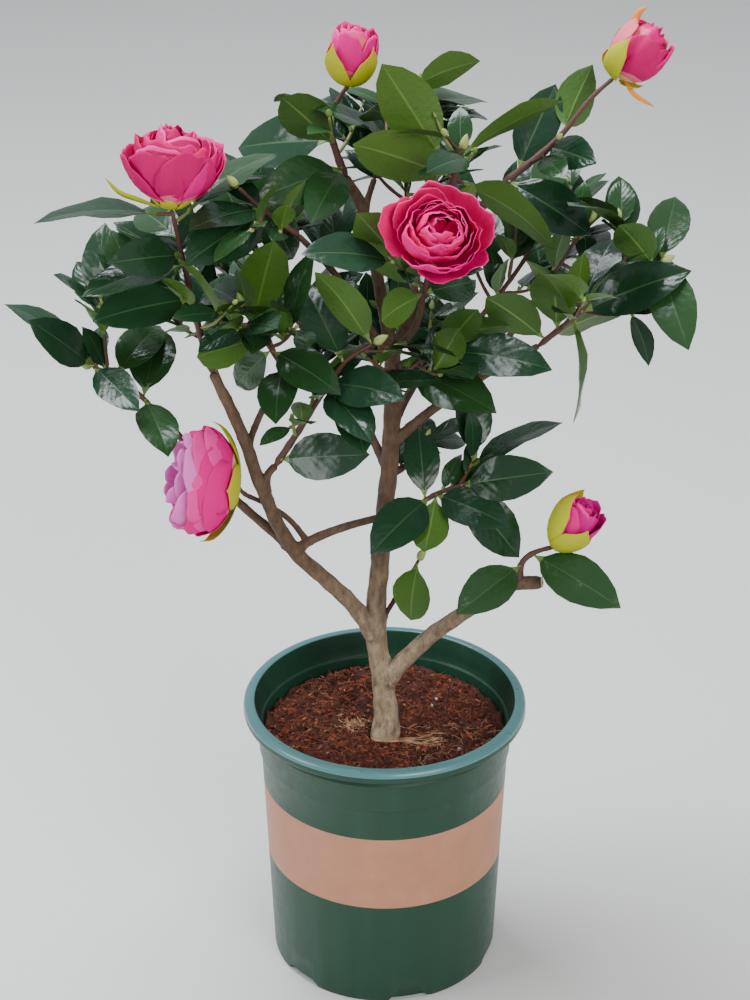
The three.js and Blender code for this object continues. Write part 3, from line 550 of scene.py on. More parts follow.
tuft_at = TUFT_AT + rng.normal(0, 1, (TUFT_THREADS, 2)) * TUFT_SPREAD
tuft_at = np.concatenate([tuft_at, mix_height(*tuft_at.T)[:, None] + 1.0], axis=1)
long, side, _ = random_turns(TUFT_THREADS, 0.3)
tuft = tuft_at[:, None] + 3.4 * bow * long[:, None] + 0.8 * bow ** 2 * side[:, None]
mix_sheets.add(tubes(tuft, np.full((TUFT_THREADS, 1), 0.35), 4), ROOT_PALE)
print("threads round the foot:", STRAND_THREADS + 1 + TUFT_THREADS)

# %% [markdown]
# Each kind of bark, fibre and root is one rough finish in its own colour. Coarse noise drifts the colour
# between darker and lighter, as patches dry at different times, and fine noise gives the grain.

# %% Potting mix: finishes


def crumbly(name, color, shine):
    """A rough, damp finish whose colour drifts between 0.45 and 1.7 times the one given."""
    made = finish(name, color, 0.9)
    here = coordinates(made)
    dark, pale = tuple(0.45 * c for c in color), tuple(min(1, 1.7 * c) for c in color)
    shades = [(0.3, dark), (0.55, color), (0.8, pale)]
    feed(made, "Base Color", ramp(made, noise(made, here, 260, 6), shades))
    feed(made, "Roughness", spread(made, noise(made, here, 120, 3), shine, 0.95))
    bump(made, noise(made, here, 1500, 4), 0.0005)
    return made


mix_finishes = [
    # The dark bark finish is also the painted shade in the hollows.
    crumbly("dark bark and painted shade", (0.078, 0.016, 0.007), 0.6),
    crumbly("red bark chips", (0.29, 0.055, 0.02), 0.5),
    crumbly("brown bark chips", (0.19, 0.046, 0.018), 0.6),
    crumbly("pale bark chips", (0.36, 0.12, 0.05), 0.7),
    crumbly("white crumbs", (0.75, 0.72, 0.66), 0.8),
    crumbly("coconut fibre", (0.26, 0.07, 0.026), 0.7),
    crumbly("pale root", (0.45, 0.27, 0.15), 0.7),
]
mix_sheets.piece("dressed_potting_mix", mix_finishes, "potting_mix", replaces=["potting_mix"])

# %% [markdown]
# ## Trunk and boughs: where they run
# Every limb runs through a few places, starting on the middle line of the limb that bears it. They were
# read off the photo from the camera's place, and the depth of each was chosen so that the limb meets what
# it grows from. The plain solids use the same table, so the bark made here covers them.

# %% Limb table
# Each row: the limb, the limb that bears it and the share of the way along it, the diameters at foot and
# tip, and the places that it runs through.
LIMB_ROWS = [
    ("trunk", None, 0, 16.5, 9,
     [[1, -3, 144], [1, -3, 156], [0, -1, 178], [-5, 1, 222], [-3, 3, 267], [3, 5, 338], [4, 5, 403]]),
    ("left_bough", "trunk", 0.28, 10.5, 6,
     [[-23, -6, 247], [-53, -18, 286], [-69, -28, 329], [-80, -34, 369], [-94, -38, 405]]),
    ("right_low_bough", "trunk", 0.16, 11, 7.6,
     [[21, -6, 215], [38, -16, 236], [55, -26, 255], [71, -33, 270], [90, -38, 275]]),
    ("left_low_bough", "left_bough", 0.4, 6, 3.4, [[-87, -6, 313], [-112, 4, 340], [-134, 10, 364]]),
    ("cross_bough", "left_bough", 0.39, 6, 3.4,
     [[-42, -21, 293], [-23, -20, 301], [3, -14, 306], [20, -12, 312]]),
    ("bud_bough", "cross_bough", 0.14, 3.6, 2.8, [[-55, -9, 300], [-67, -12, 311], [-78, -22, 322]]),
    ("inner_bough", "left_bough", 0.6, 5, 4.4, [[-66, -30, 338], [-61, -32, 346]]),
    ("middle_bough", "left_bough", 0.76, 4, 3.2, [[-68, -24, 376], [-55, -20, 397]]),
    ("right_bough", "trunk", 0.76, 6.4, 3.8, [[25, 0, 364], [55, -6, 389], [85, -10, 409]]),
    ("upper_bough", "trunk", 0.97, 7.4, 6, [[-6, 14, 449], [-13, 19, 479], [-22, 22, 496]]),
    ("upper_right_bough", "trunk", 0.98, 6.4, 4.6, [[25, 16, 437], [44, 26, 464], [64, 32, 487]]),
    ("slanting_bough", "trunk", 0.96, 4.8, 3.4, [[-17, -4, 430], [-29, -12, 454], [-47, -20, 477]]),
    ("front_bough", "trunk", 0.98, 4.4, 3.4, [[16, -16, 422], [20, -34, 447]]),
    ("top_bough", "upper_bough", 0.78, 4, 3.4, [[-9, 22, 485], [-6, 25, 494]]),
    ("upper_centre_bough", "upper_right_bough", 0.42, 4.6, 4.2, [[33, 6, 472], [36, 2, 498]]),
    ("low_bough", "trunk", 0.3, 3.4, 2.6, [[8, 4, 244], [12, 6, 250]]),
    ("back_left_bough", "trunk", 0.7, 5.6, 3.6, [[-18, 28, 356], [-42, 50, 384]]),
    ("back_right_bough", "trunk", 0.8, 5.4, 3.6, [[20, 30, 372], [48, 50, 392]]),
    ("back_low_bough", "trunk", 0.55, 5, 3.4, [[0, 28, 312], [6, 52, 334]]),
    ("back_high_bough", "upper_right_bough", 0.25, 4.8, 3.4, [[16, 30, 440], [14, 48, 458]]),
    ("far_left_bough", "left_bough", 0.72, 4.4, 3.2, [[-86, -6, 366], [-98, 20, 384]]),
    ("far_right_bough", "right_bough", 0.62, 4.2, 3.2, [[70, 12, 406], [86, 34, 420]]),
]
LIMBS = {}
for name, on, at, foot, tip, places in LIMB_ROWS:
    LIMBS[name] = {"thick": [foot, tip], "places": places, **({"on": on, "at": at} if on else {})}
print("limbs in the table:", len(LIMBS))

# %% [markdown]
# A limb is one smooth curve through its places. Between two places it is a cubic, whose slope at each is half
# the step from the place before to the place after. So it passes through every place, with no handles to set
# as one of Blender's own curves has. Its thickness falls from foot to tip by a power of the length.

# %% Middle lines
UP = np.array([0.0, 0.0, 1.0])
TRUNK_TAPER, BOUGH_TAPER, ROOT_FLARE = 0.42, 0.8, 0.12


def smooth_line(places, steps_each=2):
    """Points on the smooth curve through places: a cubic in t for each span, ends mirrored outwards."""
    places = np.asarray(places, dtype=float)
    padded = np.concatenate([[2 * places[0] - places[1]], places, [2 * places[-1] - places[-2]]])
    a, b, c, d = padded[:-3], padded[1:-2], padded[2:-1], padded[3:]
    t = (np.arange(steps_each) / steps_each)[None, :, None]
    start, stop = (c - a)[:, None] / 2, (d - b)[:, None] / 2
    b, c = b[:, None], c[:, None]
    spans = b + start * t + (3 * (c - b) - 2 * start - stop) * t ** 2 + (2 * (b - c) + start + stop) * t ** 3
    return np.concatenate([spans.reshape(-1, 3), places[-1:]])


class Line:
    """A line of straight steps, with the length up to each point."""

    def __init__(self, points):
        self.points = np.asarray(points, dtype=float)
        steps = np.linalg.norm(np.diff(self.points, axis=0), axis=1)
        self.lengths = np.concatenate([[0], np.cumsum(steps)])
        self.total = self.lengths[-1]

    def along(self, share):
        """The place at a share of the length, and the way that the line runs there."""
        wanted = min(max(share, 0), 1) * self.total
        i = int(np.clip(np.searchsorted(self.lengths, wanted), 1, len(self.points) - 1))
        step = self.points[i] - self.points[i - 1]
        part = (wanted - self.lengths[i - 1]) / (self.lengths[i] - self.lengths[i - 1])
        return self.points[i - 1] + part * step, step / np.linalg.norm(step)


def limb_radius(name, share):
    """Half the thickness at a share of the length: foot to tip by a power of it, flared at the root."""
    foot, tip = LIMBS[name]["thick"]
    taper, flare = (BOUGH_TAPER, 0) if "on" in LIMBS[name] else (TRUNK_TAPER, ROOT_FLARE)
    share = np.asarray(share, dtype=float)
    return (foot + (tip - foot) * share ** taper) / 2 * (1 + flare * np.exp(-14 * share))


lines, limb_places = {}, {}
for name, limb in LIMBS.items():
    start = [lines[limb["on"]].along(limb["at"])[0]] if "on" in limb else []
    limb_places[name] = np.array([*start, *limb["places"]], dtype=float)
    lines[name] = Line(smooth_line(limb_places[name]))
print("limbs:", len(lines), "trunk length in mm:", round(lines["trunk"].total))

# %% [markdown]
# ## Bark
# A limb is a tube: rings of points square to its middle line. The line is worked out again in steps of
# about a millimetre, to carry relief. Its radius swells a little where the bough leaves its parent, and at
# the trunk's foot.

# %% Limb tubes
TUBE_STEP, COLLAR_SWELL, COLLAR_RUN, FOOT_SWELL, FOOT_RUN = 1.1, 0.12, 3.2, 0.16, 7


def carried_across(ahead):
    """A direction square to each way ahead: the last one, less what of it runs along the way."""
    across, side = np.empty_like(ahead), np.array([1.0, 0.0, 0.0])
    for i, way in enumerate(ahead):
        side = side - side.dot(way) * way
        side /= np.linalg.norm(side)
        across[i] = side
    return across


def carried_frame(points):
    """Two directions square to a line at each point, carried along it so that they never spin."""
    ahead = units(np.gradient(points, axis=0))
    across = carried_across(ahead)
    return across, np.cross(ahead, across)


def limb_tube(name):
    """The fine middle line of a limb and the radius of its bark there, before any relief.

    Past a collar or foot the swelling dies away as e to the minus (length / its run)."""
    count = max(8, int(lines[name].total / TUBE_STEP) // (len(limb_places[name]) - 1))
    line = Line(smooth_line(limb_places[name], count))
    radius = limb_radius(name, line.lengths / line.total)
    if "on" in LIMBS[name]:
        parent = float(limb_radius(LIMBS[name]["on"], LIMBS[name]["at"]))
        radius = radius * (1 + COLLAR_SWELL * np.exp(-np.clip(line.lengths - parent, 0, None) / COLLAR_RUN))
        return line, np.minimum(radius, 0.5 * parent + 0.5 * line.lengths)
    above = np.clip(line.points[:, 2] - MIX_LEVEL, 0, None)
    return line, radius * (1 + FOOT_SWELL * np.exp(-above / FOOT_RUN))


limb_tubes = {name: limb_tube(name) for name in LIMBS}
print("rings of the trunk:", len(limb_tubes["trunk"][1]))

# %% [markdown]
# Where a bough leaves its parent, the barks of both flow into each other. Two tubes that merely cross would
# show a hard line there. A voxel remesh would round it, but would lose the relief and the finish's own
# values. So the points near the joint are moved instead, on both limbs alike.

# %% Smooth joints
FILLET, JOINT_RUN = 1.15, 24.0


def filleted(name, points):
    """Bark points of a limb, drawn out round each place where it leaves its parent or bears a bough.

    With d the gap to the other limb's bark, reach = FILLET x the bough's radius and h = 1 - |d| / reach, a
    point moves reach / 4 x h^2 away from its own middle line and reach / 4 x h^3 away from the other's. The
    start of a bough that lies buried in its parent counts as further off, so nothing moves there."""
    line, _ = limb_tubes[name]
    moved = points.copy()
    for bough, limb in LIMBS.items():
        if name not in (bough, limb.get("on")) or "on" not in limb:
            continue
        joint, _ = lines[limb["on"]].along(limb["at"])
        other_line, other_radius = limb_tubes[limb["on"] if name == bough else bough]
        near = np.linalg.norm(other_line.points - joint, axis=1) < JOINT_RUN
        rows = np.linalg.norm(line.points - joint, axis=1) < JOINT_RUN
        middle, thick, here = other_line.points[near], other_radius[near], points[rows]
        reach = FILLET * float(limb_radius(bough, 0))
        sunk = limb_tubes[bough][0].lengths / limb_radius(limb["on"], limb["at"])
        buried = reach * np.clip(1.3 - sunk, 0, 1)
        gaps = np.linalg.norm(here[:, :, None] - middle, axis=3) - thick
        gaps = np.maximum(gaps, 0) + (buried[rows][:, None, None] if name == bough else buried[near])
        away = here - middle[gaps.argmin(axis=2)]
        own = here - line.points[rows][:, None]
        h = np.clip(1 - gaps.min(axis=2) / reach, 0, 1)[..., None]
        for way, power in ((own, 2), (away, 3)):
            length = np.linalg.norm(way, axis=2, keepdims=True)
            moved[rows] += reach / 4 * h ** power * way / np.maximum(length, 1e-6)
    return moved


print("joints:", sum("on" in limb for limb in LIMBS.values()))

# %% [markdown]
# Camellia bark is smooth and thin. On the trunk it has shallow lengthwise folds, and the lower trunk looks
# like two stems pressed together. Boughs are ringed with old leaf scars. The relief is real and not only in
# the finish, so it shows on the outline too: each ring of the tube is pushed in and out by waves that run
# along the limb.

# %% Bark relief
WHOLE_TURN = 6.28
SEAM_DEPTH, SEAM_AT, SEAM_WIDTH, SEAM_FROM = 0.07, 4.9, 0.3, 9.6
SCAR_HEIGHT, SCAR_WIDTH, SCAR_GAPS = 0.3, 0.8, (9, 15)


def bark_waves(angle, run, phase):
    """Folds and lumps as a share of the radius.

    The folds are sines of 3, 7 and 13 times the angle whose phase drifts along, the lumps slow sines."""
    folds = (0.028 * np.sin(3 * angle + 0.02 * run + phase[0])
             + 0.018 * np.sin(7 * angle + 0.09 * run + phase[1]))
    folds += 0.012 * np.sin(13 * angle - 0.21 * run + phase[2]) * np.sin(0.33 * run + phase[3])
    lumps = (0.04 * np.sin(0.19 * run + phase[4]) * np.cos(angle + phase[5])
             + 0.03 * np.sin(0.43 * run + 2 * angle + phase[6]))
    return folds, lumps


def bark_grid(name, radius, sides, seed):
    """A tube with relief: radius = smooth radius x (1 + folds + lumps - seam) + ring scars.

    The seam is a bell-shaped groove at one angle, on the thick trunk alone. A scar is a narrow ridge round
    part of the limb, one every 9 to 15 mm, lower on thick wood."""
    luck = np.random.default_rng(seed)
    line, _ = limb_tubes[name]
    across, over = carried_frame(line.points)
    angle = np.linspace(0, 2 * np.pi, sides + 1)[None]
    run = line.lengths[:, None]
    phase = luck.uniform(0, WHOLE_TURN, 8)
    thick = radius[:, None] * 2
    folds, lumps = bark_waves(angle, run, phase)
    from_seam = np.angle(np.exp(1j * (angle - SEAM_AT - 0.002 * run)))
    seam = -SEAM_DEPTH * np.exp(-(from_seam / SEAM_WIDTH) ** 2) * (thick > SEAM_FROM)
    grown = radius[:, None] * (1 + folds + lumps + seam)
    scars = np.cumsum(luck.uniform(*SCAR_GAPS, int(line.total / SCAR_GAPS[0]) + 1))
    for at, turn in zip(scars, luck.uniform(0, WHOLE_TURN, len(scars))):
        part = 0.5 + 0.5 * np.cos(angle - turn)
        ridge = SCAR_HEIGHT * np.exp(-((run - at - 0.6 * np.sin(angle)) / SCAR_WIDTH) ** 2)
        grown = grown + ridge * part * np.clip(1.4 - thick / 14, 0.25, 1)
    ring = across[:, None] * np.cos(angle)[..., None] + over[:, None] * np.sin(angle)[..., None]
    points = filleted(name, line.points[:, None] + grown[..., None] * ring)
    ends = [np.repeat(p[None, None], sides + 1, axis=1) for p in (line.points[0], line.points[-1])]
    places = np.stack(np.broadcast_arrays(run * MM, radius[:, None] * angle * MM), axis=-1)
    places = np.concatenate([places[:1], places, places[-1:]])
    return np.concatenate([ends[0], points, ends[1]]), places


# %% [markdown]
# Old bark is pale grey-brown and young wood red-brown. How young the wood is, read from the limb's
# thickness and its height, is stored on every point, and the finish fades from one to the other by it. The
# same function ends a limb in a rounded tip, or narrows it to the stem of foliage that goes on from it.

# %% Dressing a limb
OLD_RADIUS, YOUNG_FROM, YOUNG_RUN, YOUNG_MOST = 4.6, 180, 105, 0.9
TIP_RUN = 18.0


def dressed_limb(name, index, stem_radius=None):
    """The bark mesh of one limb: fine steps along it, its rounded tip, and its youth on each point.

    Where a stem goes on from its tip, the last stretch narrows smoothly to the stem and turns red-brown."""
    line, radius = limb_tubes[name]
    youth = 1.25 - limb_radius(name, line.lengths / line.total) / OLD_RADIUS
    youth = np.maximum(youth, YOUNG_MOST * np.clip((line.points[:, 2] - YOUNG_FROM) / YOUNG_RUN, 0, 1))
    near_tip = np.clip((line.lengths - line.total + TIP_RUN) / TIP_RUN, 0, 1) * (stem_radius is not None)
    near_tip = near_tip ** 2 * (3 - 2 * near_tip)
    radius = radius + ((stem_radius or 0) - radius) * near_tip
    tip = np.clip((line.total - line.lengths) / np.maximum(radius, 1e-3), 0, 1)
    radius = radius * np.sqrt(1 - (1 - tip) ** 2)
    sides = 44 if name == "trunk" else 30 if LIMBS[name]["thick"][0] > 8 else 18
    grid, places = bark_grid(name, radius, sides, 40 + index)
    youth = np.maximum(np.clip(youth, 0, 1), near_tip)
    youth = np.concatenate([youth[:1], youth, youth[-1:]])[:, None] * np.ones(sides + 1)
    if name == "trunk":
        grid[..., 2] = np.maximum(grid[..., 2], MIX_LEVEL - 0.2)
    sheets = Sheets()
    sheets.add(grid[None], 0, places[None], youth[None])
    return sheets.piece("bark_" + name, [bark], "bark", replaces=[name])


# %% [markdown]
# The finish mottles both barks with one noise, drawn out along Z because bark grows that way, and mixes
# them by the youth on the points. It could also be painted, but a value on the points needs no image.

# %% Bark finish
bark = finish("camellia bark", (0.3, 0.22, 0.15), 0.8)
here = coordinates(bark)
youth = add_node(bark, "ShaderNodeAttribute", attribute_name="value").outputs["Fac"]
grain = stretched(bark, here, (1.0, 1.0, 0.45))
mottle = noise(bark, grain, 270, 8, 0.75)
old_wood = ramp(bark, mottle, [
    (0.32, (0.125, 0.08, 0.045)), (0.44, (0.26, 0.185, 0.112)), (0.56, (0.39, 0.295, 0.19)),
    (0.7, (0.51, 0.41, 0.28))])
young_wood = ramp(bark, mottle, [
    (0.3, (0.03, 0.011, 0.005)), (0.55, (0.068, 0.026, 0.009)), (0.8, (0.13, 0.058, 0.022))])
FACTOR, FIRST_COLOR, SECOND_COLOR, MIXED_COLOR = 0, 6, 7, 2
blend = add_node(bark, "ShaderNodeMix", data_type="RGBA", links=[
    (FACTOR, youth), (FIRST_COLOR, old_wood), (SECOND_COLOR, young_wood)])
feed(bark, "Base Color", blend.outputs[MIXED_COLOR])
feed(bark, "Roughness", spread(bark, noise(bark, here, 400, 4), 0.55, 0.92))
bump(bark, noise(bark, grain, 700, 8, 0.7), 0.0006)
print("bark finish nodes:", len(bark.node_tree.nodes))

# %% [markdown]
# ## How the foliage grows
# Each mass of foliage has one stem, which goes on from its bough. The leaves that show plainly in the photo
# are in the table, and all the others come from a seeded rule. Side shoots leave the stem a golden angle
# apart, and leaves leave each shoot by turns. A leaf that would meet anything is nudged aside, up, round or
# made smaller, and if it still meets something, or leaves its own mass's space, it is left out. This is the
# rule of the plain solids, so their leaves come up here too, with one more that just finds its space.

# %% Foliage table
# Each row: the mass, the limb that bears it and the share of the way along it, the seed of its dice, how
# many side shoots it tries, how many leaves on each, how far a shoot reaches, the places of its stem, and
# its leaves: share of the stem, heading and lift in degrees, reach and turn.
MASS_ROWS = [
    ("left_top_foliage", "left_bough", 1, 11, 10, 3, 44,
     [[-100, -41, 431], [-105, -44, 461], [-110, -47, 493], [-112, -48, 504]],
     [[0.45, 212, 1, 58, -35], [0.65, 213, -3, 60, -5], [0.71, 226, 11, 50, -55], [0.8, 121, 4, 50, -20],
      [0.9, 43, 20, 75, 0], [0.66, 44, 9, 56, 40], [0.95, 187, 1, 72, -5]]),
    ("left_low_foliage", "left_low_bough", 1, 23, 5, 3, 36,
     [[-151, 14, 379], [-167, 18, 384]],
     [[0.08, 289, -12, 53, 0], [0.12, 82, 26, 57, 0], [0.62, 65, 16, 54, 20], [0.9, 167, 36, 64, 5],
      [1, 218, 46, 52, -65], [0.97, 306, -10, 50, 20]]),
    ("middle_foliage", "middle_bough", 1, 31, 6, 3, 30,
     [[-64, -22, 414], [-74, -26, 432], [-77, -28, 440]],
     [[0.04, 267, -11, 50, 0], [0.31, 313, -6, 54, 35], [0.33, 132, -45, 46, -90], [0.5, 226, 6, 52, 95],
      [0.72, 321, 73, 56, -40], [1, 120, -6, 50, -25]]),
    ("inner_foliage", "inner_bough", 1, 43, 5, 2, 26,
     [[-46, -36, 372], [-36, -38, 390], [-22, -40, 412], [-6, -42, 424]],
     [[0.04, 337, 14, 56, 60], [0.59, 298, -9, 55, 15], [0.63, 317, 10, 54, 45], [0.78, 120, 34, 58, -15],
      [0.98, 180, 56, 52, 70]]),
    ("hanging_flower", "bud_bough", 1, 53, 0, 0, 0,
     [[-81, -26, 327], [-83, -28, 329]], []),
    ("upper_left_foliage", "slanting_bough", 1, 61, 10, 3, 36,
     [[-66, -28, 495], [-78, -33, 509]],
     [[0.5, 228, -10, 60, -40], [0.58, 224, 4, 55, -20], [0.62, 49, -54, 48, 95], [1, 77, 7, 50, 5]]),
    ("top_left_foliage", "upper_bough", 1, 71, 7, 3, 34,
     [[-27, 24, 509], [-31, 26, 526], [-25, 26, 539], [-19, 26, 547]],
     [[0.04, 215, -4, 58, -50], [0.05, 238, -19, 50, -25], [0.31, 226, 43, 54, 50],
      [0.36, 148, -13, 66, -55]]),
    ("top_foliage", "top_bough", 1, 83, 6, 3, 32,
     [[2, 30, 515], [7, 32, 527], [15, 34, 543]],
     [[0.42, 205, 29, 52, -20], [0.62, 246, 24, 45, 40], [0.76, 33, -5, 58, 10], [1, 46, 7, 48, -80]]),
    ("upper_centre_foliage", "upper_centre_bough", 1, 97, 6, 2, 26,
     [[39, 0, 511], [41, -1, 519]],
     [[0.06, 206, 25, 68, 80], [0.13, 180, 59, 78, 85], [0.16, 329, -21, 70, -65], [0.8, 26, 20, 66, -50]]),
    ("upper_right_foliage", "upper_right_bough", 1, 101, 6, 2, 28,
     [[94, 38, 511], [112, 42, 533], [126, 43, 546]],
     [[0.04, 321, -18, 60, 45], [0.13, 53, 49, 56, 20], [0.38, 300, 6, 44, 45], [0.51, 65, 32, 50, -140]]),
    ("front_foliage", "front_bough", 1, 113, 3, 2, 24,
     [[22, -45, 464], [25, -54, 479]],
     [[0.02, 233, -3, 42, 105], [0.05, 50, -9, 46, 45], [0.13, 199, 53, 64, 70]]),
    ("centre_foliage", "trunk", 0.92, 127, 5, 2, 28,
     [[12, -8, 393], [21, -18, 404], [32, -26, 412]],
     [[0.4, 319, -6, 62, 40], [0.83, 123, -64, 50, -115], [0.96, 314, 52, 44, -50], [1, 336, 2, 62, 25]]),
    ("right_foliage", "right_bough", 1, 131, 9, 3, 34,
     [[102, -12, 425], [128, -10, 445], [150, -6, 456]],
     [[0.06, 205, 41, 52, 70], [0.09, 30, 9, 56, -65], [0.16, 257, 62, 56, 0], [0.3, 271, -39, 64, -95],
      [0.36, 64, 33, 56, 5], [0.36, 347, 28, 66, 45], [0.95, 223, 46, 46, 45], [1, 75, 28, 52, 0],
      [1, 282, -31, 57, 5]]),
    ("cross_foliage", "cross_bough", 1, 149, 3, 2, 24,
     [[31, -16, 321], [48, -22, 330], [59, -26, 333]],
     [[0.08, 97, 31, 52, 0], [0.15, 234, -10, 56, -25], [0.24, 317, 1, 54, 40], [0.26, 260, -21, 46, 150],
      [0.58, 351, -50, 56, 55], [0.6, 333, 19, 56, 55], [1, 304, -12, 52, -20]]),
    ("trunk_side_foliage", "trunk", 0.68, 151, 1, 2, 22,
     [[16, 8, 330], [22, 12, 339]],
     [[0.74, 84, 7, 44, 0], [0.95, 60, -12, 42, 30]]),
    ("low_foliage", "low_bough", 1, 163, 0, 0, 0,
     [[16, 8, 256], [20, 9, 264]],
     [[0.92, 263, -17, 50, 155]]),
    ("low_right_foliage", "right_low_bough", 0.9, 173, 3, 2, 26,
     [[77, -37, 286], [84, -38, 294], [97, -41, 300]],
     [[0.31, 120, 1, 46, -25], [0.34, 225, -11, 54, -30], [0.59, 321, -12, 62, 35]]),
    ("back_left_foliage", "back_left_bough", 1, 181, 9, 3, 40,
     [[-58, 66, 404], [-72, 80, 424], [-80, 88, 446]], []),
    ("back_right_foliage", "back_right_bough", 1, 191, 9, 3, 40,
     [[66, 66, 408], [82, 80, 426], [92, 86, 446]], []),
    ("back_low_foliage", "back_low_bough", 1, 193, 6, 3, 36,
     [[8, 72, 350], [8, 92, 368]], []),
    ("back_high_foliage", "back_high_bough", 1, 199, 9, 3, 36,
     [[12, 64, 476], [14, 78, 496]], []),
    ("far_left_foliage", "far_left_bough", 1, 211, 7, 3, 34,
     [[-108, 38, 402], [-116, 52, 422]], []),
    ("far_right_foliage", "far_right_bough", 1, 223, 7, 3, 34,
     [[102, 50, 438], [116, 60, 456]], []),
]
# Each row: the mass that bears it, the kind of bloom, how wide and how deep it is, its heading and its
# lift.
BLOOM_ROWS = [
    ("left_top_foliage", "open", 58, 42, 60, 82),
    ("hanging_flower", "half", 54, 42, 190, 8),
    ("top_left_foliage", "bud", 28, 34, 20, 84),
    ("upper_right_foliage", "bud", 36, 38, 0, 50),
    ("front_foliage", "open", 63, 40, 275, 34),
    ("low_right_foliage", "bud", 28, 35, 350, 58),
]
MASS_KEYS = ("on", "at", "seed", "shoots", "each", "reach", "places", "leaves")
MASSES = {name: dict(zip(MASS_KEYS, row)) for name, *row in MASS_ROWS}
for name, *row in BLOOM_ROWS:
    MASSES[name]["bloom"] = dict(zip(("kind", "across", "deep", "heading", "lift"), row))
print("masses:", len(MASSES), "leaves in the table:", sum(len(mass["leaves"]) for mass in MASSES.values()))

# %% [markdown]
# A few sizes hold for the whole plant: how thick its twigs are, how a leaf is shaped, and the crown's
# round, which is an egg-shaped space that no leaf of the rule leaves. The nudges are tried in their order.

# %% Growth sizes
TWIG_SIDES, STEM_FOOT_RADIUS, STEM_TOP_RADIUS, SHOOT_RADIUS, SHOOT_END_RADIUS = 3, 2.2, 0.9, 1.2, 0.8
LONGEST_LEAF, LEAF_WIDTH, LEAF_THICKNESS = 66.0, 0.46, 1.1
LEAF_ARCH, LEAF_FOLD, PETIOLE_END = 0.045, 0.2, 0.13
# Share of the length, and of the greatest width.
LEAF_STATIONS = np.array([[-0.01, 0], [0.03, 0.06], [0.38, 1], [0.72, 0.86], [1, 0]])
GOLDEN_ANGLE, BORDER_SLACK = 137.5, 10.0
CROWN_CENTRE, CROWN_HALF = np.array([-8, 22, 430.0]), np.array([178, 132, 112.0])
# Steps aside and up, a turn in degrees, and a change of size.
NUDGES = [
    (0, 0, 0, 1), (1, 0, 0, 1), (-1, 0, 0, 1), (0, 1, 0, 1), (0, -1, 0, 1), (0, 0, 25, 1), (0, 0, -25, 1),
    (2, 0, 0, 1), (-2, 0, 0, 1), (0, 2, 0, 1), (0, -2, 0, 1), (0, 0, 0, 0.85), (1, 1, 0, 0.8),
    (-1, 1, 0, 0.8), (3, 0, 0, 0.9), (-3, 0, 0, 0.9), (0, 3, 0, 0.9), (0, -3, 0, 0.9), (2, 2, 45, 0.8),
    (-2, 2, -45, 0.8),
]
# Share of half the width, and of the depth, from the bloom's foot to its middle.
BLOOM_PROFILES = {
    "open": [(0, 0), (0.34, 0.05), (0.8, 0.34), (1, 0.7), (0.97, 0.86), (0.7, 0.88), (0.4, 1), (0, 0.98)],
    "half": [(0, 0), (0.4, 0.06), (0.86, 0.34), (1, 0.68), (0.9, 0.9), (0.5, 1), (0, 0.92)],
    "bud": [(0, 0), (0.5, 0.06), (0.94, 0.34), (0.96, 0.6), (0.66, 0.86), (0.2, 1), (0, 1)],
}
BLOOM_SIDES, PETALS, PETAL_WAVE, BLOOM_SINK = 15, 5, 0.1, 1.0
print("nudges:", len(NUDGES), "crown's half sizes in mm:", CROWN_HALF)

# %% [markdown]
# Growing needs a few small tools, such as dice that roll the same numbers here as for the solids. Python's
# own random numbers would differ from those.

# %% Small helpers for growing


def mix_between(low, high, share):
    """low + (high - low) x share."""
    return low + (high - low) * share


def unit(vector):
    """The vector divided by its length."""
    return vector / np.linalg.norm(vector)


def pointing(heading, lift):
    """A vector of length 1 from a heading in degrees round from +X and a lift above level."""
    heading, lift = math.radians(heading), math.radians(lift)
    return np.array([math.cos(lift) * math.cos(heading), math.cos(lift) * math.sin(heading), math.sin(lift)])


def dice(seed):
    """Even random numbers from 0 to 1: each state is 1664525 times the last plus 1013904223, modulo 2^32."""
    state = seed

    def roll():
        nonlocal state
        state = (state * 1664525 + 1013904223) % 4294967296
        return state / 4294967296

    return roll


def leaf_frame(ahead, turn):
    """A leaf's directions: ahead, its upper side, turned away from as far up as it can face, and across."""
    side = unit(np.cross(ahead, UP))
    face = np.cross(side, ahead) * math.cos(math.radians(turn)) + side * math.sin(math.radians(turn))
    return {"ahead": ahead, "face": face, "across": np.cross(ahead, face)}


print("a first roll with seed 1:", dice(1)())

# %% [markdown]
# ### Plain shapes for the clearance test
# To know whether a leaf would meet a twig, a bloom or another leaf, each is first made as the same plain
# closed shape as in the solids: a few rings of corners. A search tree of their faces, Blender's BVH tree,
# then says at once whether two of them cross.

# %% Plain shapes


def ringed(rings):
    """Faces between rings of corners shaped (rows, sides, 3), the first and last row closed by fans."""
    rows, sides, _ = rings.shape
    i, j = np.meshgrid(np.arange(rows - 1), np.arange(sides), indexing="ij")
    a, b = i * sides + j, i * sides + (j + 1) % sides
    faces = np.stack([a, b, b + sides, a + sides], axis=-1).reshape(-1, 4).tolist()
    faces += [list(range(sides))[::-1], list(range((rows - 1) * sides, rows * sides))]
    return rings.reshape(-1, 3), faces


def plain_limb(line, radius, sides):
    """Rings square to a line of straight steps: point = place + r (across sin a + over cos a)."""
    steps = np.concatenate([line.points[:1], line.points, line.points[-1:]])
    ahead = units(steps[2:] - steps[:-2])
    across = carried_across(ahead)
    over = np.cross(across, ahead)
    angle = np.arange(sides) * 2 * np.pi / sides
    ring = across[:, None] * np.sin(angle)[:, None] + over[:, None] * np.cos(angle)[:, None]
    return ringed(line.points[:, None] + radius[:, None, None] * ring)


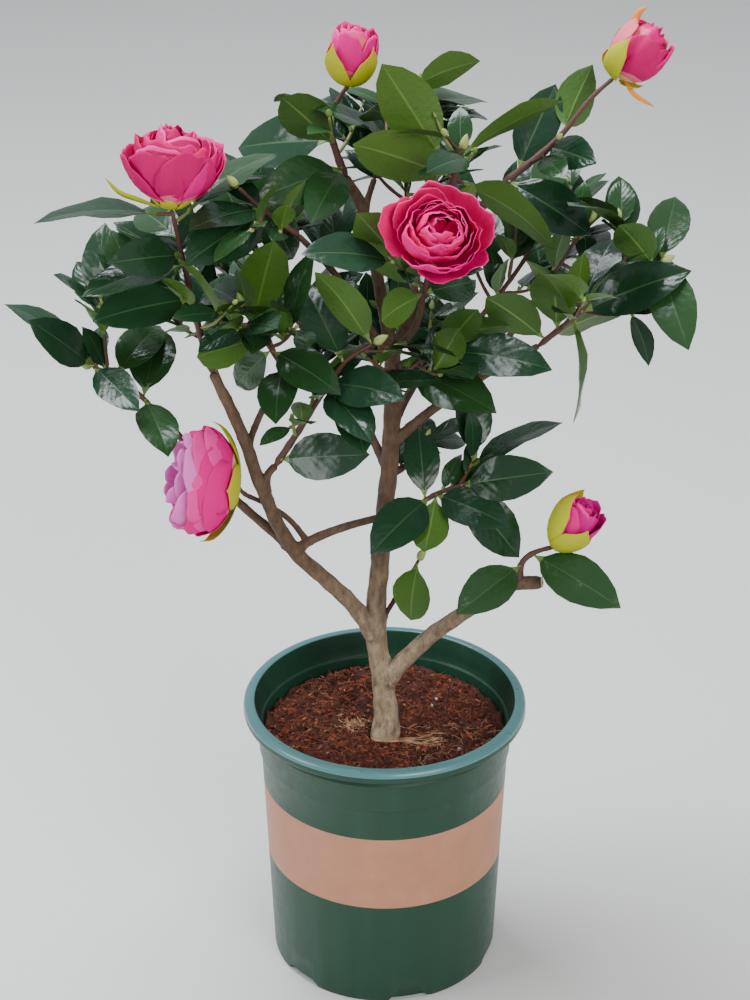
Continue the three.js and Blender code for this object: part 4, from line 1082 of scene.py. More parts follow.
def plain_leaf(leaf, start=-1.0, swell=0.0):
    """Four corners at each station, on the two edges and the upper and under sides, swollen all round.

    With s the share of the length, the blade arches by LEAF_ARCH x span x 4 s (1 - s), and its edges rise by
    LEAF_FOLD of their distance from the middle."""
    share = np.maximum(LEAF_STATIONS[:, 0], start)[:, None]
    rows = np.arange(len(share))[:, None]
    inner = (rows > 0) & (rows < len(share) - 1)
    half = LEAF_STATIONS[:, 1:] * leaf["span"] * LEAF_WIDTH / 2 + swell
    edge = np.array([[1, 0, -1, 0]]) * inner
    above = np.array([[0, 1, 0, -1]]) * inner
    rise = LEAF_ARCH * leaf["span"] * 4 * share * (1 - share) + LEAF_FOLD * np.abs(edge) * half
    rise = rise + above * (LEAF_THICKNESS / 2 + swell)
    run = share * leaf["span"] + swell * (2 * rows / (len(share) - 1) - 1) + 0 * edge
    return ringed(leaf["root"] + run[..., None] * leaf["ahead"] + (edge * half)[..., None] * leaf["across"]
                  + rise[..., None] * leaf["face"])


def ring_round(centre, radius, angle, across, over):
    """Points on rings: centre + r cos a across + r sin a over."""
    return centre + (radius * np.cos(angle))[..., None] * across + (radius * np.sin(angle))[..., None] * over


def facing_frame(heading, lift):
    """Three directions for a bloom: its axis, and two square to it."""
    axis = pointing(heading, lift)
    side = unit(np.cross(axis, UP) if abs(axis[2]) < 0.995 else np.array([1.0, 0, 0]))
    return axis, side, np.cross(axis, side)


def plain_bloom(bloom, foot):
    """A turned profile whose rim waves in and out once for each outer petal."""
    profile = np.array(BLOOM_PROFILES[bloom["kind"]])
    angle = np.arange(BLOOM_SIDES) * 2 * np.pi / BLOOM_SIDES
    wave = 1 - PETAL_WAVE * (1 - np.cos(PETALS * angle)) / 2
    axis, side, top = facing_frame(bloom["heading"], bloom["lift"])
    out = profile[:, :1] * bloom["across"] / 2 * wave
    rings = ring_round(foot, out, angle, side, top)
    return ringed(rings + (profile[:, 1] * bloom["deep"])[:, None, None] * axis)


print("corners of a plain leaf:", 4 * len(LEAF_STATIONS))

# %% [markdown]
# ### What is taken
# Every limb, stem, twig, leaf and bloom goes on a list with its search tree and the box round it. Boxes are
# compared first, because that is quick, and trees only where boxes meet.

# %% The list of what is taken
taken, bones, bone_owners = [], [], []


class Shape:
    """A plain shape with its search tree and box."""

    def __init__(self, points_and_faces):
        points, faces = points_and_faces
        self.tree = BVHTree.FromPolygons(points.tolist(), faces)
        self.low, self.high = points.min(axis=0), points.max(axis=0)

    def meets(self, other):
        """Whether the boxes overlap and then the faces cross."""
        apart = (self.low > other.high).any() or (other.low > self.high).any()
        return not apart and bool(self.tree.overlap(other.tree))


def take(owner, whole, blade=None):
    """Puts a shape on the list. A leaf also has a shape of its blade alone, without its stalk."""
    entry = {"owner": owner, "whole": whole, "blade": blade or whole}
    taken.append(entry)
    return entry


def is_clear(owner, parent, whole, blade):
    """Whether a shape meets nothing taken. In its own mass only its blade counts, and not with its parent."""
    for entry in taken:
        if entry is parent:
            continue
        if entry["owner"] == owner and blade.meets(entry["blade"]):
            return False
        if entry["owner"] != owner and whole.meets(entry["whole"]):
            return False
    return True


def add_bone(owner, place):
    """Marks a place on a mass's own stem or table leaf. The marks say whose space is where."""
    bones.append(place)
    bone_owners.append(owner)


def in_own_space(owner, place):
    """Inside the crown's round, and nearer to a mark of the mass than to another's, within the slack."""
    if np.linalg.norm((place - CROWN_CENTRE) / CROWN_HALF) > 1:
        return False
    far = np.linalg.norm(np.array(bones) - place, axis=1)
    own = np.array(bone_owners) == owner
    return far[own].min() < far[~own].min() + BORDER_SLACK


for name, limb in LIMBS.items():
    sides = 12 if name == "trunk" else 8 if limb["thick"][0] > 5.2 else 6
    line = lines[name]
    take(name, Shape(plain_limb(line, limb_radius(name, line.lengths / line.total), sides)))
print("limbs taken:", len(taken))

# %% [markdown]
# ### Stems and blooms first
# Stems and blooms are where the photo shows them, so they are taken before any leaf, and leaves keep clear
# of them.

# %% Stems and blooms
STEM_MARKS = 9
stems, blooms = {}, []
for name, mass in MASSES.items():
    start = lines[mass["on"]].along(mass["at"])[0]
    places = np.array([start, *mass["places"]], dtype=float)
    line = Line(smooth_line(places))
    lines[name] = line
    foot = min(LIMBS[mass["on"]]["thick"][1] / 2 - 0.2, STEM_FOOT_RADIUS)
    radius = mix_between(foot, STEM_TOP_RADIUS, line.lengths / line.total)
    entry = take(name, Shape(plain_limb(line, radius, TWIG_SIDES)))
    stems[name] = {"places": places, "foot": foot, "entry": entry}
    for i in range(STEM_MARKS):
        add_bone(name, line.along(i / (STEM_MARKS - 1))[0])
    if "bloom" in mass:
        at, ahead = line.along(1)
        blooms.append({**mass["bloom"], "mass": name, "foot": at - BLOOM_SINK * ahead})
        take(name, Shape(plain_bloom(mass["bloom"], at - BLOOM_SINK * ahead)))
print("stems:", len(stems), "blooms:", len(blooms))

# %% [markdown]
# ### Leaves of the table
# A leaf is tried as it comes and then with each nudge. One that reaches further than a leaf can grow stands
# on a short twig of its own. Earlier leaves take their space first.

# %% Growing twigs and leaves
LEAF_MARKS, TABLE_SWAY, LEAVES_OF_A_SPRAY = 4, 0.1, 3
twigs, leaves = [], []


def grow_twig(owner, line):
    """Adds a twig along a line and takes its plain shape, thinner towards its end."""
    radius = mix_between(SHOOT_RADIUS, SHOOT_END_RADIUS, line.lengths / line.total)
    twigs.append(line)
    return take(owner, Shape(plain_limb(line, radius, TWIG_SIDES)))


def grow_leaf(owner, parent, start, way, reach, turn, sway, anywhere, spray):
    """Tries a leaf as it comes, then nudged, and keeps the first that fits.

    A nudge turns the way by sway for each of its steps aside and up. Its tip and its middle have to be in the
    mass's own space, unless the leaf may grow anywhere."""
    side = unit(np.cross(way, UP))
    top = np.cross(side, way)
    for aside, lifted, turned, size in NUDGES:
        ahead = unit(way + sway * aside * side + sway * lifted * top)
        span = min(reach, LONGEST_LEAF) * size
        root = start + ahead * max(0, reach - LONGEST_LEAF)
        leaf = {"mass": owner, "spray": spray, "root": root, "span": span, **leaf_frame(ahead, turn + turned)}
        if not anywhere and not all(in_own_space(owner, root + ahead * span / part) for part in (1, 2)):
            continue
        whole, blade = (Shape(plain_leaf(leaf, first, GAP)) for first in (-1.0, PETIOLE_END))
        if is_clear(owner, parent, whole, blade):
            if reach > LONGEST_LEAF:
                grow_twig(owner, Line([start, root + 3 * ahead]))
            take(owner, Shape(plain_leaf(leaf)), Shape(plain_leaf(leaf, PETIOLE_END)))
            leaves.append(leaf)
            return leaf
    return None


for name, mass in MASSES.items():
    line = lines[name]
    buried = (float(limb_radius(mass["on"], mass["at"])) + 2) / line.total
    for number, (start, heading, lift, reach, turn) in enumerate(mass["leaves"]):
        place, way = line.along(max(start, min(buried, 0.5)))[0], pointing(heading, lift)
        spray = number // LEAVES_OF_A_SPRAY
        leaf = grow_leaf(name, stems[name]["entry"], place, way, reach, turn, TABLE_SWAY, True, spray)
        for i in range(1, LEAF_MARKS + 1):
            if leaf:
                add_bone(name, leaf["root"] + leaf["ahead"] * leaf["span"] * i / LEAF_MARKS)
print("leaves of the table that found their space:", len(leaves))

# %% [markdown]
# ### Side shoots by the rule
# A shoot bends up as it grows, and its leaves are pressed towards the level, so that each sees the sky. The
# dice are rolled also for what is left out, so that it doesn't change what comes next.

# %% Side shoots
SHOOT_SWAY, FIRST_SHOOT_SPRAY, SHOOT_FROM, LEAVES_FROM, SHOOT_BEND = 0.25, 4, 0.15, 0.35, 0.18
SHOOT_LENGTHS, LENGTH_LUCK, SHOOT_OPENINGS = (1.1, 0.7), (0.8, 1.15), (45, 75)
LEAF_OPENINGS, TIP_OPENING, TURN_LUCK, LEAF_SPANS, LEAF_TURNS = (40, 65), 8, 60, (46, 60), (-30, 30)
LEAF_FLATTER, LEAF_UPWARDS = 0.5, 0.12


def opened_way(ahead, opening, turn, flatter, upwards):
    """A way that leaves ahead by opening, on a side given by turn, pressed towards the level and bent up.

    side = flank cos turn + flatter x crown sin turn, way = ahead cos opening + side sin opening + upwards."""
    flank = unit(np.cross(ahead, UP))
    aside = flank * math.cos(turn) + np.cross(flank, ahead) * flatter * math.sin(turn)
    return unit(ahead * math.cos(opening) + aside * math.sin(opening) + UP * upwards)


shoots = []
for name, mass in MASSES.items():
    roll = dice(mass["seed"])
    for i in range(mass["shoots"]):
        share = mix_between(SHOOT_FROM, 1, (i + 0.5) / mass["shoots"])
        at, ahead = lines[name].along(share)
        side = unit(np.cross(ahead, UP))
        turn_round = math.radians(i * GOLDEN_ANGLE + TURN_LUCK * roll())
        opening = math.radians(mix_between(*SHOOT_OPENINGS, roll()))
        long = mass["reach"] * mix_between(*SHOOT_LENGTHS, share) * mix_between(*LENGTH_LUCK, roll())
        out = side * math.cos(turn_round) + np.cross(side, ahead) * math.sin(turn_round)
        way = ahead * math.cos(opening) + out * math.sin(opening)
        half, end = at + way * long / 2, at + way * long + UP * SHOOT_BEND * long
        line = Line(smooth_line([at, half, end], 1))
        spare = Shape(plain_limb(line, np.full(3, SHOOT_RADIUS + GAP), TWIG_SIDES))
        in_space = in_own_space(name, half) and in_own_space(name, end)
        grows = in_space and is_clear(name, stems[name]["entry"], spare, spare)
        shoot, spray = grow_twig(name, line) if grows else None, FIRST_SHOOT_SPRAY + i
        if grows:
            shoots.append((name, shoot, line, spray))
        for k in range(mass["each"]):
            node, node_ahead = line.along(mix_between(LEAVES_FROM, 1, (k + 1) / mass["each"]))
            last = k == mass["each"] - 1
            opened = math.radians(TIP_OPENING if last else mix_between(*LEAF_OPENINGS, roll()))
            turned = math.radians(k * GOLDEN_ANGLE + TURN_LUCK * roll())
            span, turn = mix_between(*LEAF_SPANS, roll()), mix_between(*LEAF_TURNS, roll())
            leaf_way = opened_way(node_ahead, opened, turned, LEAF_FLATTER, LEAF_UPWARDS)
            if shoot:
                grow_leaf(name, shoot, node, leaf_way, span, turn, SHOOT_SWAY, False, spray)
rule_leaves = len(leaves)
print("shoots:", len(shoots), "leaves by the rule so far:", rule_leaves)

# %% [markdown]
# ### Finer growth
# A living shoot also carries small new leaves between the grown ones. So each stem and shoot tries a few
# short leaves, half the size of the others, in the same space and just as clear of all that is there.

# %% Small new leaves
SMALL_LEAF, SMALL_LEAVES, SMALL_SWAY, STEM_SPRAY = (24, 38), 3, 0.3, 2
SMALL_FROM, SMALL_OPENINGS, SMALL_FLATTER, SMALL_UPWARDS = (0.3, 0.98), (35, 70), 0.6, 0.2
roll = dice(977)
bearers = [(name, stems[name]["entry"], lines[name], STEM_SPRAY) for name in MASSES if MASSES[name]["shoots"]]
for name, entry, line, spray in bearers + shoots:
    for _ in range(SMALL_LEAVES):
        node, node_ahead = line.along(mix_between(*SMALL_FROM, roll()))
        opened, turned = math.radians(mix_between(*SMALL_OPENINGS, roll())), 2 * math.pi * roll()
        leaf_way = opened_way(node_ahead, opened, turned, SMALL_FLATTER, SMALL_UPWARDS)
        span, turn = mix_between(*SMALL_LEAF, roll()), mix_between(*LEAF_TURNS, roll())
        grow_leaf(name, entry, node, leaf_way, span, turn, SMALL_SWAY, False, spray)
print("small leaves:", len(leaves) - rule_leaves)

# %% [markdown]
# ## The limbs get their bark
# Where a stem of foliage goes on from a bough's tip, the bark runs on into it without a step.

# %% Dress the limbs
tip_stems = {MASSES[name]["on"]: 1.1 * stem["foot"] for name, stem in stems.items()
             if MASSES[name]["at"] == 1}
for index, name in enumerate(LIMBS):
    dressed_limb(name, index, tip_stems.get(name))

# %% [markdown]
# ## Pruned ends
# The low bough on the right was cut back, and its end shows a pale disc of wood with a darker rim. It is a
# shallow dome, worked out as rings that shrink towards the middle of the cut.

# %% Cut wood
DOME_ROWS, DOME_SIDES, DOME_RISE, CUT_SUNK = 7, 24, 0.16, 0.8
cut_wood = finish("cut wood", (0.62, 0.47, 0.3), 0.7)
feed(cut_wood, "Base Color", ramp(cut_wood, noise(cut_wood, coordinates(cut_wood), 700, 4), [
    (0.3, (0.4, 0.27, 0.16)), (0.6, (0.64, 0.5, 0.33)), (0.85, (0.75, 0.63, 0.46))]))


def cut_end(name, radius, off):
    """A dome over a limb's tip: rings of radius r cos e at height 0.16 r sin e, e up to a right angle."""
    line = lines[name]
    tip, ahead = line.points[-1] + np.array(off), line.along(1)[1]
    across = unit(np.cross(ahead, UP))
    rise = np.linspace(0, np.pi / 2, DOME_ROWS)[:, None]
    around = np.linspace(0, 2 * np.pi, DOME_SIDES + 1)[None]
    dome = ring_round(tip, radius * np.cos(rise), around, across, np.cross(ahead, across))
    dome = dome + (DOME_RISE * radius * np.sin(rise) + 0 * around)[..., None] * ahead
    base = np.repeat((tip - CUT_SUNK * ahead)[None, None], DOME_SIDES + 1, axis=1)
    sheets = Sheets()
    sheets.add(np.concatenate([base, dome])[None])
    return sheets.piece("cut_" + name, [cut_wood], "bark")


cut_end("right_low_bough", 3.3, (-0.9, 0.35, 0))

# %% [markdown]
# ## Twigs
# Young camellia wood is thin, round and red-brown, greener towards its end, and it swells a little wherever
# a leaf joins. Each stem and shoot is a round tube along its own curve, and the tubes of one kind are worked
# out as one array of rings. High in the middle an old shoot was pruned, and its short stub stands round the
# stem that grew on from it. Two flowers stand a little higher in the photo than their plain forms, so their
# stems end higher too.

# %% Stems
TWIG_COLUMNS, STEM_ROWS, SHOOT_ROWS, STEM_SUNK, SHOOT_RADII = 8, 26, 9, 5.0, (1.15, 0.75)
NODE_SWELL, NODE_EVERY = 0.16, 11
RAISED = {"front_foliage": 6.0, "hanging_flower": 4.0}
STUB, STUB_RADII = [(35.5, 2.5, 495), (38, 0.5, 508), (40.5, -1.5, 521)], (2.7, 2.2)


def resampled(line, count):
    """Places at even lengths along a line."""
    run = np.linspace(0, line.total, count)
    return np.stack([np.interp(run, line.lengths, line.points[:, i]) for i in range(3)], axis=1)


def swollen(radius, lengths, luck):
    """Nodes on a twig: radius x (1 + 0.16 x a narrow wave of the length, one every 11 mm or so)."""
    count, rows = radius.shape
    run = np.linspace(0, 1, rows) * lengths[:, None]
    wave = np.abs(np.sin(run * np.pi / NODE_EVERY + luck.uniform(0, 3, (count, 1)))) ** 8
    return radius * (1 + NODE_SWELL * wave)


def raised_stem(name):
    """A stem's rows of places, the last place of its table lifted by what its flower is raised."""
    places = stems[name]["places"]
    places = np.append(places[:-1], [places[-1] + RAISED.get(name, 0) * UP], axis=0)
    return resampled(Line(smooth_line(places, 8)), STEM_ROWS)


luck = np.random.default_rng(19)
twig_sheets = Sheets()
stem_paths = np.stack([raised_stem(name) for name in stems])
first_step = stem_paths[:, 1] - stem_paths[:, 0]
stem_paths[:, 0] -= STEM_SUNK * first_step / np.linalg.norm(first_step, axis=1, keepdims=True)
stem_share = np.linspace(0, 1, STEM_ROWS)[None]
stem_foot = np.array([stem["foot"] for stem in stems.values()])[:, None]
stem_lengths = np.array([lines[name].total for name in stems])
stem_radius = swollen(mix_between(stem_foot * 1.05, STEM_TOP_RADIUS * 1.15, stem_share), stem_lengths, luck)
twig_sheets.add(tubes(stem_paths, stem_radius, TWIG_COLUMNS))
stub_path = smooth_line(STUB, 6)[None]
stub_radius = np.linspace(*STUB_RADII, stub_path.shape[1])[None]
twig_sheets.add(tubes(stub_path, stub_radius, TWIG_COLUMNS))
print("stem radii in mm:", round(stem_radius.min(), 2), "to", round(stem_radius.max(), 2))

# %% [markdown]
# Shoots of one age differ in colour, so each takes one of three finishes by chance: red-brown, brown, or
# the green of a new shoot.

# %% Shoots
shoot_paths = np.stack([resampled(Line(smooth_line(line.points, 4)), SHOOT_ROWS) for line in twigs])
shoot_share = np.linspace(0, 1, SHOOT_ROWS)[None]
shoot_lengths = np.array([line.total for line in twigs])
shoot_radius = swollen(mix_between(*SHOOT_RADII, shoot_share) * np.ones((len(twigs), 1)), shoot_lengths, luck)
shoot_finish = luck.choice([0, 1, 2], len(twigs), p=[0.35, 0.35, 0.3])
twig_sheets.add(tubes(shoot_paths, shoot_radius, TWIG_COLUMNS), shoot_finish)
woods = [
    finish("red young wood", (0.075, 0.028, 0.018), 0.6),
    finish("brown young wood", (0.11, 0.055, 0.03), 0.65),
    finish("green new shoot", (0.16, 0.2, 0.05), 0.5),
]
for wood in woods:
    bump(wood, noise(wood, coordinates(wood), 700, 4), 0.0003)
twig_sheets.piece("twigs", woods, "bark")

# %% [markdown]
# ## Leaves
# A camellia leaf is thick and leathery, with a dark shining upper side, a matt olive underside, a pale midrib
# and a short stalk. Each leaf is one closed grid: rows run from the stalk to the drawn-out tip, and columns
# over the upper side, round the margin and back under. The blade arches as the plain one does, its halves
# rise from the midrib and flatten again towards the margins, and the margins wave a little.

# %% Leaf shape
ROW_SHARES = np.array([-0.01, 0.06, 0.125, 0.2, 0.32, 0.46, 0.6, 0.74, 0.86, 0.95, 1.0])
EDGES = np.array([-1, -0.5, -0.035, 0.035, 0.5, 1, 0.5, 0.045, -0.045, -0.5, -1])
ABOVE = np.array([0, 1, 1, 1, 1, 0, -1, -1, -1, -1, 0])
STALK_HALF, BLADE_THICKNESS, STALK_END, COMMON_SPAN = 0.8, 0.6, 0.11, 55
MARGIN_WAVE, MIDRIB_ABOVE, MIDRIB_BELOW, TWIST = 0.016, -0.25, -0.5, 0.22


def blade_width(share):
    """Half the blade's width against its greatest.

    With q the share of the blade it is the sine of pi q to the 0.86, to the 0.7, drawn in before the tip."""
    q = np.clip((share - STALK_END) / (1 - STALK_END), 0, 1)
    return np.sin(np.pi * q ** 0.86) ** 0.7 * (1 - 0.38 * np.exp(-((q - 0.97) / 0.05) ** 2))


def margin_wave(share, edge, span, luck):
    """How far the margins wave up and down: a sine along the blade, times the square of the way out."""
    each = (len(span), 1, 1)
    phase = 2 * np.pi * luck.uniform(1.2, 2.2, each) * share + luck.uniform(0, WHOLE_TURN, each) + 1.4 * edge
    return MARGIN_WAVE * span * np.sin(phase) * edge ** 2 * np.sin(np.pi * np.clip(share, 0, 1))


def leaf_grids(items, luck):
    """Closed grids for many leaves at once, and their texture places.

    With s the share of the length and e that of the way from midrib to margin, a point rises by the arch
    4 s (1 - s), the fold |e| - 0.4 e^4 of the half width, the wave, the droop s^3 and half the thickness. The
    whole cross-section then turns with s, by a twist of its own for each leaf."""
    root, ahead, face, across = (np.array([leaf[key] for leaf in items])[:, None, None]
                                 for key in ("root", "ahead", "face", "across"))
    span = np.array([leaf["span"] for leaf in items])[:, None, None]
    each = (len(items), 1, 1)
    share, edge = ROW_SHARES[None, :, None], EDGES[None, None]
    blade = LEAF_WIDTH / 2 * span * blade_width(share) * luck.uniform(0.94, 1.08, each)
    stalk = STALK_HALF * span / COMMON_SPAN * (share < 0.99)
    half = np.maximum(blade, stalk)
    wave = margin_wave(share, edge, span, luck)
    droop = -luck.uniform(0.01, 0.09, each) * span * share ** 3
    thick = BLADE_THICKNESS / 2 + (STALK_HALF - BLADE_THICKNESS / 2) * np.exp(-np.clip(share, 0, 1) / 0.1)
    midrib = np.where(ABOVE < 0, MIDRIB_BELOW, MIDRIB_ABOVE)[None, None] * (np.abs(EDGES) < 0.1)[None, None]
    rise = (LEAF_ARCH * span * 4 * share * (1 - share) + LEAF_FOLD * half * (np.abs(edge) - 0.4 * edge ** 4)
            + wave + droop + ABOVE[None, None] * thick * (share < 0.99) + midrib * (1 - share))
    twist = luck.uniform(-TWIST, TWIST, each) * share
    out = half * edge * (share < 0.995)
    sideways = out * np.cos(twist) - rise * np.sin(twist)
    upwards = out * np.sin(twist) + rise * np.cos(twist)
    ends = np.ones((1, len(ROW_SHARES), 1))
    ends[:, 0] = 0
    grid = (root + (share * span)[..., None] * ahead + (ends * sideways)[..., None] * across
            + (ends * upwards)[..., None] * face)
    grid[:, -1] = grid[:, -1, :1]
    return grid, np.stack(np.broadcast_arrays(0.5 + 0.5 * edge, share), axis=-1)[0]


luck = np.random.default_rng(23)
leaf_grid, leaf_places = leaf_grids(leaves, luck)
print("leaf grids:", leaf_grid.shape[:3])

# %% [markdown]
# A wet leaf is a mirror in places, so the shine does more for its looks than the green: noise spreads the
# roughness from almost none to dull. Side veins are a sine that runs slantwise from the midrib, read from
# the leaf's own texture places. They are shallow, so they are left to bump.

# %% Leaf finishes
TOP_GREENS = [
    (0.009, 0.036, 0.013), (0.013, 0.046, 0.013), (0.007, 0.029, 0.012), (0.017, 0.056, 0.015),
    (0.011, 0.04, 0.018),
]
UNDER_GREENS = [(0.056, 0.132, 0.013), (0.038, 0.098, 0.013)]
VEINS_ALONG, VEINS_SLANT, VEIN_HEIGHT = 54.0, 30.0, 0.035
leaf_finishes = []
for number, color in enumerate(TOP_GREENS):
    top = finish("leaf upper side %d" % (number + 1), color, 0.25, Specular_IOR_Level=0.34)
    place = add_node(top, "ShaderNodeSeparateXYZ", [("Vector", coordinates(top, "UV"))])
    from_rib = arith(top, "ABSOLUTE", arith(top, "SUBTRACT", place.outputs["X"], 0.5))
    along = arith(top, "MULTIPLY", place.outputs["Y"], VEINS_ALONG)
    run = arith(top, "SUBTRACT", along, arith(top, "MULTIPLY", from_rib, VEINS_SLANT))
    vein = arith(top, "MULTIPLY", arith(top, "SINE", run), VEIN_HEIGHT)
    bump(top, arith(top, "ADD", noise(top, coordinates(top), 105, 2), vein), 0.0006)
    feed(top, "Roughness", spread(top, noise(top, coordinates(top), 60, 3), 0.06, 0.4))
    leaf_finishes.append(top)
for number, color in enumerate(UNDER_GREENS):
    under = finish("leaf underside %d" % (number + 1), color, 0.5, Specular_IOR_Level=0.35)
    bump(under, noise(under, coordinates(under), 400, 4), 0.0005)
    leaf_finishes.append(under)
RIB, UNDER_RIB, STALK = range(len(leaf_finishes), len(leaf_finishes) + 3)
leaf_finishes.append(finish("leaf midrib", (0.027, 0.076, 0.022), 0.35))
leaf_finishes.append(finish("leaf underside rib", (0.1, 0.2, 0.03), 0.45))
leaf_finishes.append(finish("leaf stalk", (0.12, 0.2, 0.035), 0.4))
print("leaf finishes:", len(leaf_finishes))

# %% [markdown]
# Every face of a leaf now takes its finish by its column: upper side, underside, or rib. Its first rows are
# the stalk. The greens are dealt out by spray, since leaves of one shoot are of one age. The columns are
# turned round so that the faces point outwards, and the margins stay sharp.

# %% Leaves
RIB_COLUMN, UNDER_RIB_COLUMN, STALK_FACES, SHARP_FROM = 2, 7, 2, math.radians(62)
mass_numbers = {name: number for number, name in enumerate(MASSES)}
deal = np.array([(3 * mass_numbers[leaf["mass"]] + leaf["spray"]) % len(TOP_GREENS) for leaf in leaves])
rows, columns = len(ROW_SHARES) - 1, len(EDGES) - 1
leaf_finish = np.repeat(deal[:, None], rows * columns, axis=1).reshape(-1, rows, columns)
under_columns = ABOVE[1:] + ABOVE[:-1] < 0
leaf_finish[:, :, under_columns] = len(TOP_GREENS) + (deal % 2)[:, None, None]
leaf_finish[:, :, RIB_COLUMN] = RIB
leaf_finish[:, :, UNDER_RIB_COLUMN] = UNDER_RIB
leaf_finish[:, :STALK_FACES] = STALK
under_faces = np.broadcast_to(under_columns[::-1], (len(leaves), rows, columns)).ravel()
leaf_sheets = Sheets()
leaf_sheets.add(leaf_grid[:, :, ::-1], leaf_finish[:, :, ::-1].ravel(), leaf_places[None, :, ::-1],
                rolled=under_faces)
foliage_nodes = [name for name in MASSES if name != "hanging_flower"]
leaf_piece = leaf_sheets.piece("leaves", leaf_finishes, "foliage", replaces=foliage_nodes)
leaf_piece.data.set_sharp_from_angle(angle=SHARP_FROM)

# %% [markdown]
# ## Buds
# In the angle of most leaves sits a small pointed bud, and each shoot ends in a larger one. Next year's
# flower buds are round and green. A bud is a turned shape with ridges that wind round it, like its
# overlapping scales.

# %% Buds
BUD_ROWS, BUD_SIDES, STEM_BUD, BUD_LONG, BUD_SUNK = 8, 8, 5.2, 1.9, 0.8
GREEN_BUD, BROWN_BUD, PALE_BUD = range(3)


def bud_grids(places, ways, long, wide):
    """Buds as closed grids, with h from foot to tip.

    radius = wide / 2 x sin(pi h^0.7)^0.85 x (1 + 0.08 sin(3 angle + 9 h))."""
    h = np.linspace(0, 1, BUD_ROWS)[None, :, None]
    angle = np.linspace(0, 2 * np.pi, BUD_SIDES + 1)[None, None]
    ridges = 1 + 0.08 * np.sin(3 * angle + 9 * h)
    radius = wide[:, None, None] / 2 * np.sin(np.pi * h ** 0.7) ** 0.85 * ridges
    across = units(np.cross(ways, (0.37, 0.21, 0.9)))
    over = np.cross(ways, across)[:, None, None]
    middle = places[:, None, None] + (long[:, None, None] * h)[..., None] * ways[:, None, None]
    grid = ring_round(middle, radius, angle, across[:, None, None], over)
    for end in (0, -1):
        grid[:, end] = grid[:, end].mean(axis=1, keepdims=True)
    return grid


luck = np.random.default_rng(29)
bud_sheets = Sheets()
axils = [leaf for number, leaf in enumerate(leaves) if number % 3]
axil_at = np.array([leaf["root"] for leaf in axils])
axil_way = np.array([unit(leaf["ahead"] + 0.7 * leaf["face"]) for leaf in axils])
axil_long, axil_wide = luck.uniform(3.2, 5, len(axils)), luck.uniform(1.3, 2, len(axils))
axil_kinds = luck.choice([GREEN_BUD, BROWN_BUD], len(axils))
bud_sheets.add(bud_grids(axil_at, axil_way, axil_long, axil_wide), axil_kinds)
tips = [lines[name].along(1) for name in MASSES if "bloom" not in MASSES[name]]
stem_tips = len(tips)
tips += [line.along(1) for _, _, line, _ in shoots]
tip_at, tip_way = np.array([at - BUD_SUNK * way for at, way in tips]), np.array([way for _, way in tips])
tip_wide = np.where(np.arange(len(tips)) < stem_tips, STEM_BUD, luck.uniform(2, 3.6, len(tips)))
tip_kinds = luck.choice([GREEN_BUD, PALE_BUD], len(tips))
bud_sheets.add(bud_grids(tip_at, tip_way, tip_wide * BUD_LONG, tip_wide), tip_kinds)
bud_finishes = [
    finish("green bud scales", (0.13, 0.22, 0.04), 0.45),
    finish("brown bud scales", (0.2, 0.11, 0.05), 0.6),
    finish("pale bud scales", (0.32, 0.38, 0.12), 0.45),
]
bud_sheets.piece("buds", bud_finishes, "foliage")

# %% [markdown]
# ## Blooms
# The flower is a double one, like a small peony: twenty to forty-six petals set a golden angle apart, the
# outer ones long, broad and open, the inner ones shorter, closed over the middle and crumpled. One petal is
# a grid whose middle line bends evenly from the flower's axis outwards or back in, by its curl, in degrees
# for each millimetre. The columns wrap round the axis, and the rim is ruffled. Cloth simulation could
# crumple a petal too, but not forty of them inside one another in the time. Sepals are the same shape,
# short and pointed.

# %% Petal parts
PETAL_ROWS, PETAL_COLUMNS = 9, 13
FOOT_SHARE, WRAP_MOST, WRAP_SLACK, NO_BEND = 0.42, 1.35, 2.5, 1e-4


def level(values, t):
    """A value read off evenly spaced ones, from the innermost petal at t = 0 to the outermost at t = 1."""
    return np.interp(t, np.linspace(0, 1, len(values)), values)


def uneven(look, luck, by):
    """One chance number for each petal, about by in size where the flower is fully ruffled."""
    return look["ruffle"] * luck.normal(0, by, (look["count"], 1, 1))


def petal_line(look, luck, t, u, v):
    """Where the petal's middle line stands out from the axis and up along it, and how it leans.

    x is the share of the length, u for the middle column and less for the others, so that the petal gets its
    shoulders: x = u (1 - shoulder |v|^blunt). With the lean a0 at the foot, a1 at the tip and a at x,
    out = long (cos a0 - cos a) / (a1 - a0) and up = long (sin a - sin a0) / (a1 - a0)."""
    x = u * (1 - look["shoulder"] * np.abs(v) ** look["blunt"]) * (1 + uneven(look, luck, 0.05) * v)
    a0 = np.radians(level(look["base"], t) + uneven(look, luck, 4))
    long = level(look["reach"], t) * (1 + look["ruffle"] * luck.uniform(-0.12, 0.06, (look["count"], 1, 1)))
    a1 = a0 - np.radians(level(look["curl"], t) * long + uneven(look, luck, 8))
    bend = a1 - a0 + NO_BEND
    lean = a0 + bend * x
    out = level(look["start"], t) + long * (np.cos(a0) - np.cos(lean)) / bend
    up = level(look["rise"], t) + long * (np.sin(lean) - np.sin(a0)) / bend
    return x, lean, out, up


def petal_half_width(look, luck, t, x):
    """Half the petal's width at x: from 0.42 of it at the foot to all of it by the sine of 90 degrees x^0.8.

    A pointed sepal narrows again by point x^2.5."""
    half = level(look["width"], t) * (FOOT_SHARE + (1 - FOOT_SHARE) * np.sin(np.pi / 2 * x ** 0.8))
    half = half * (1 - look.get("point", 0) * x ** 2.5)
    return half * luck.uniform(0.88, 1.12, (look["count"], 1, 1))


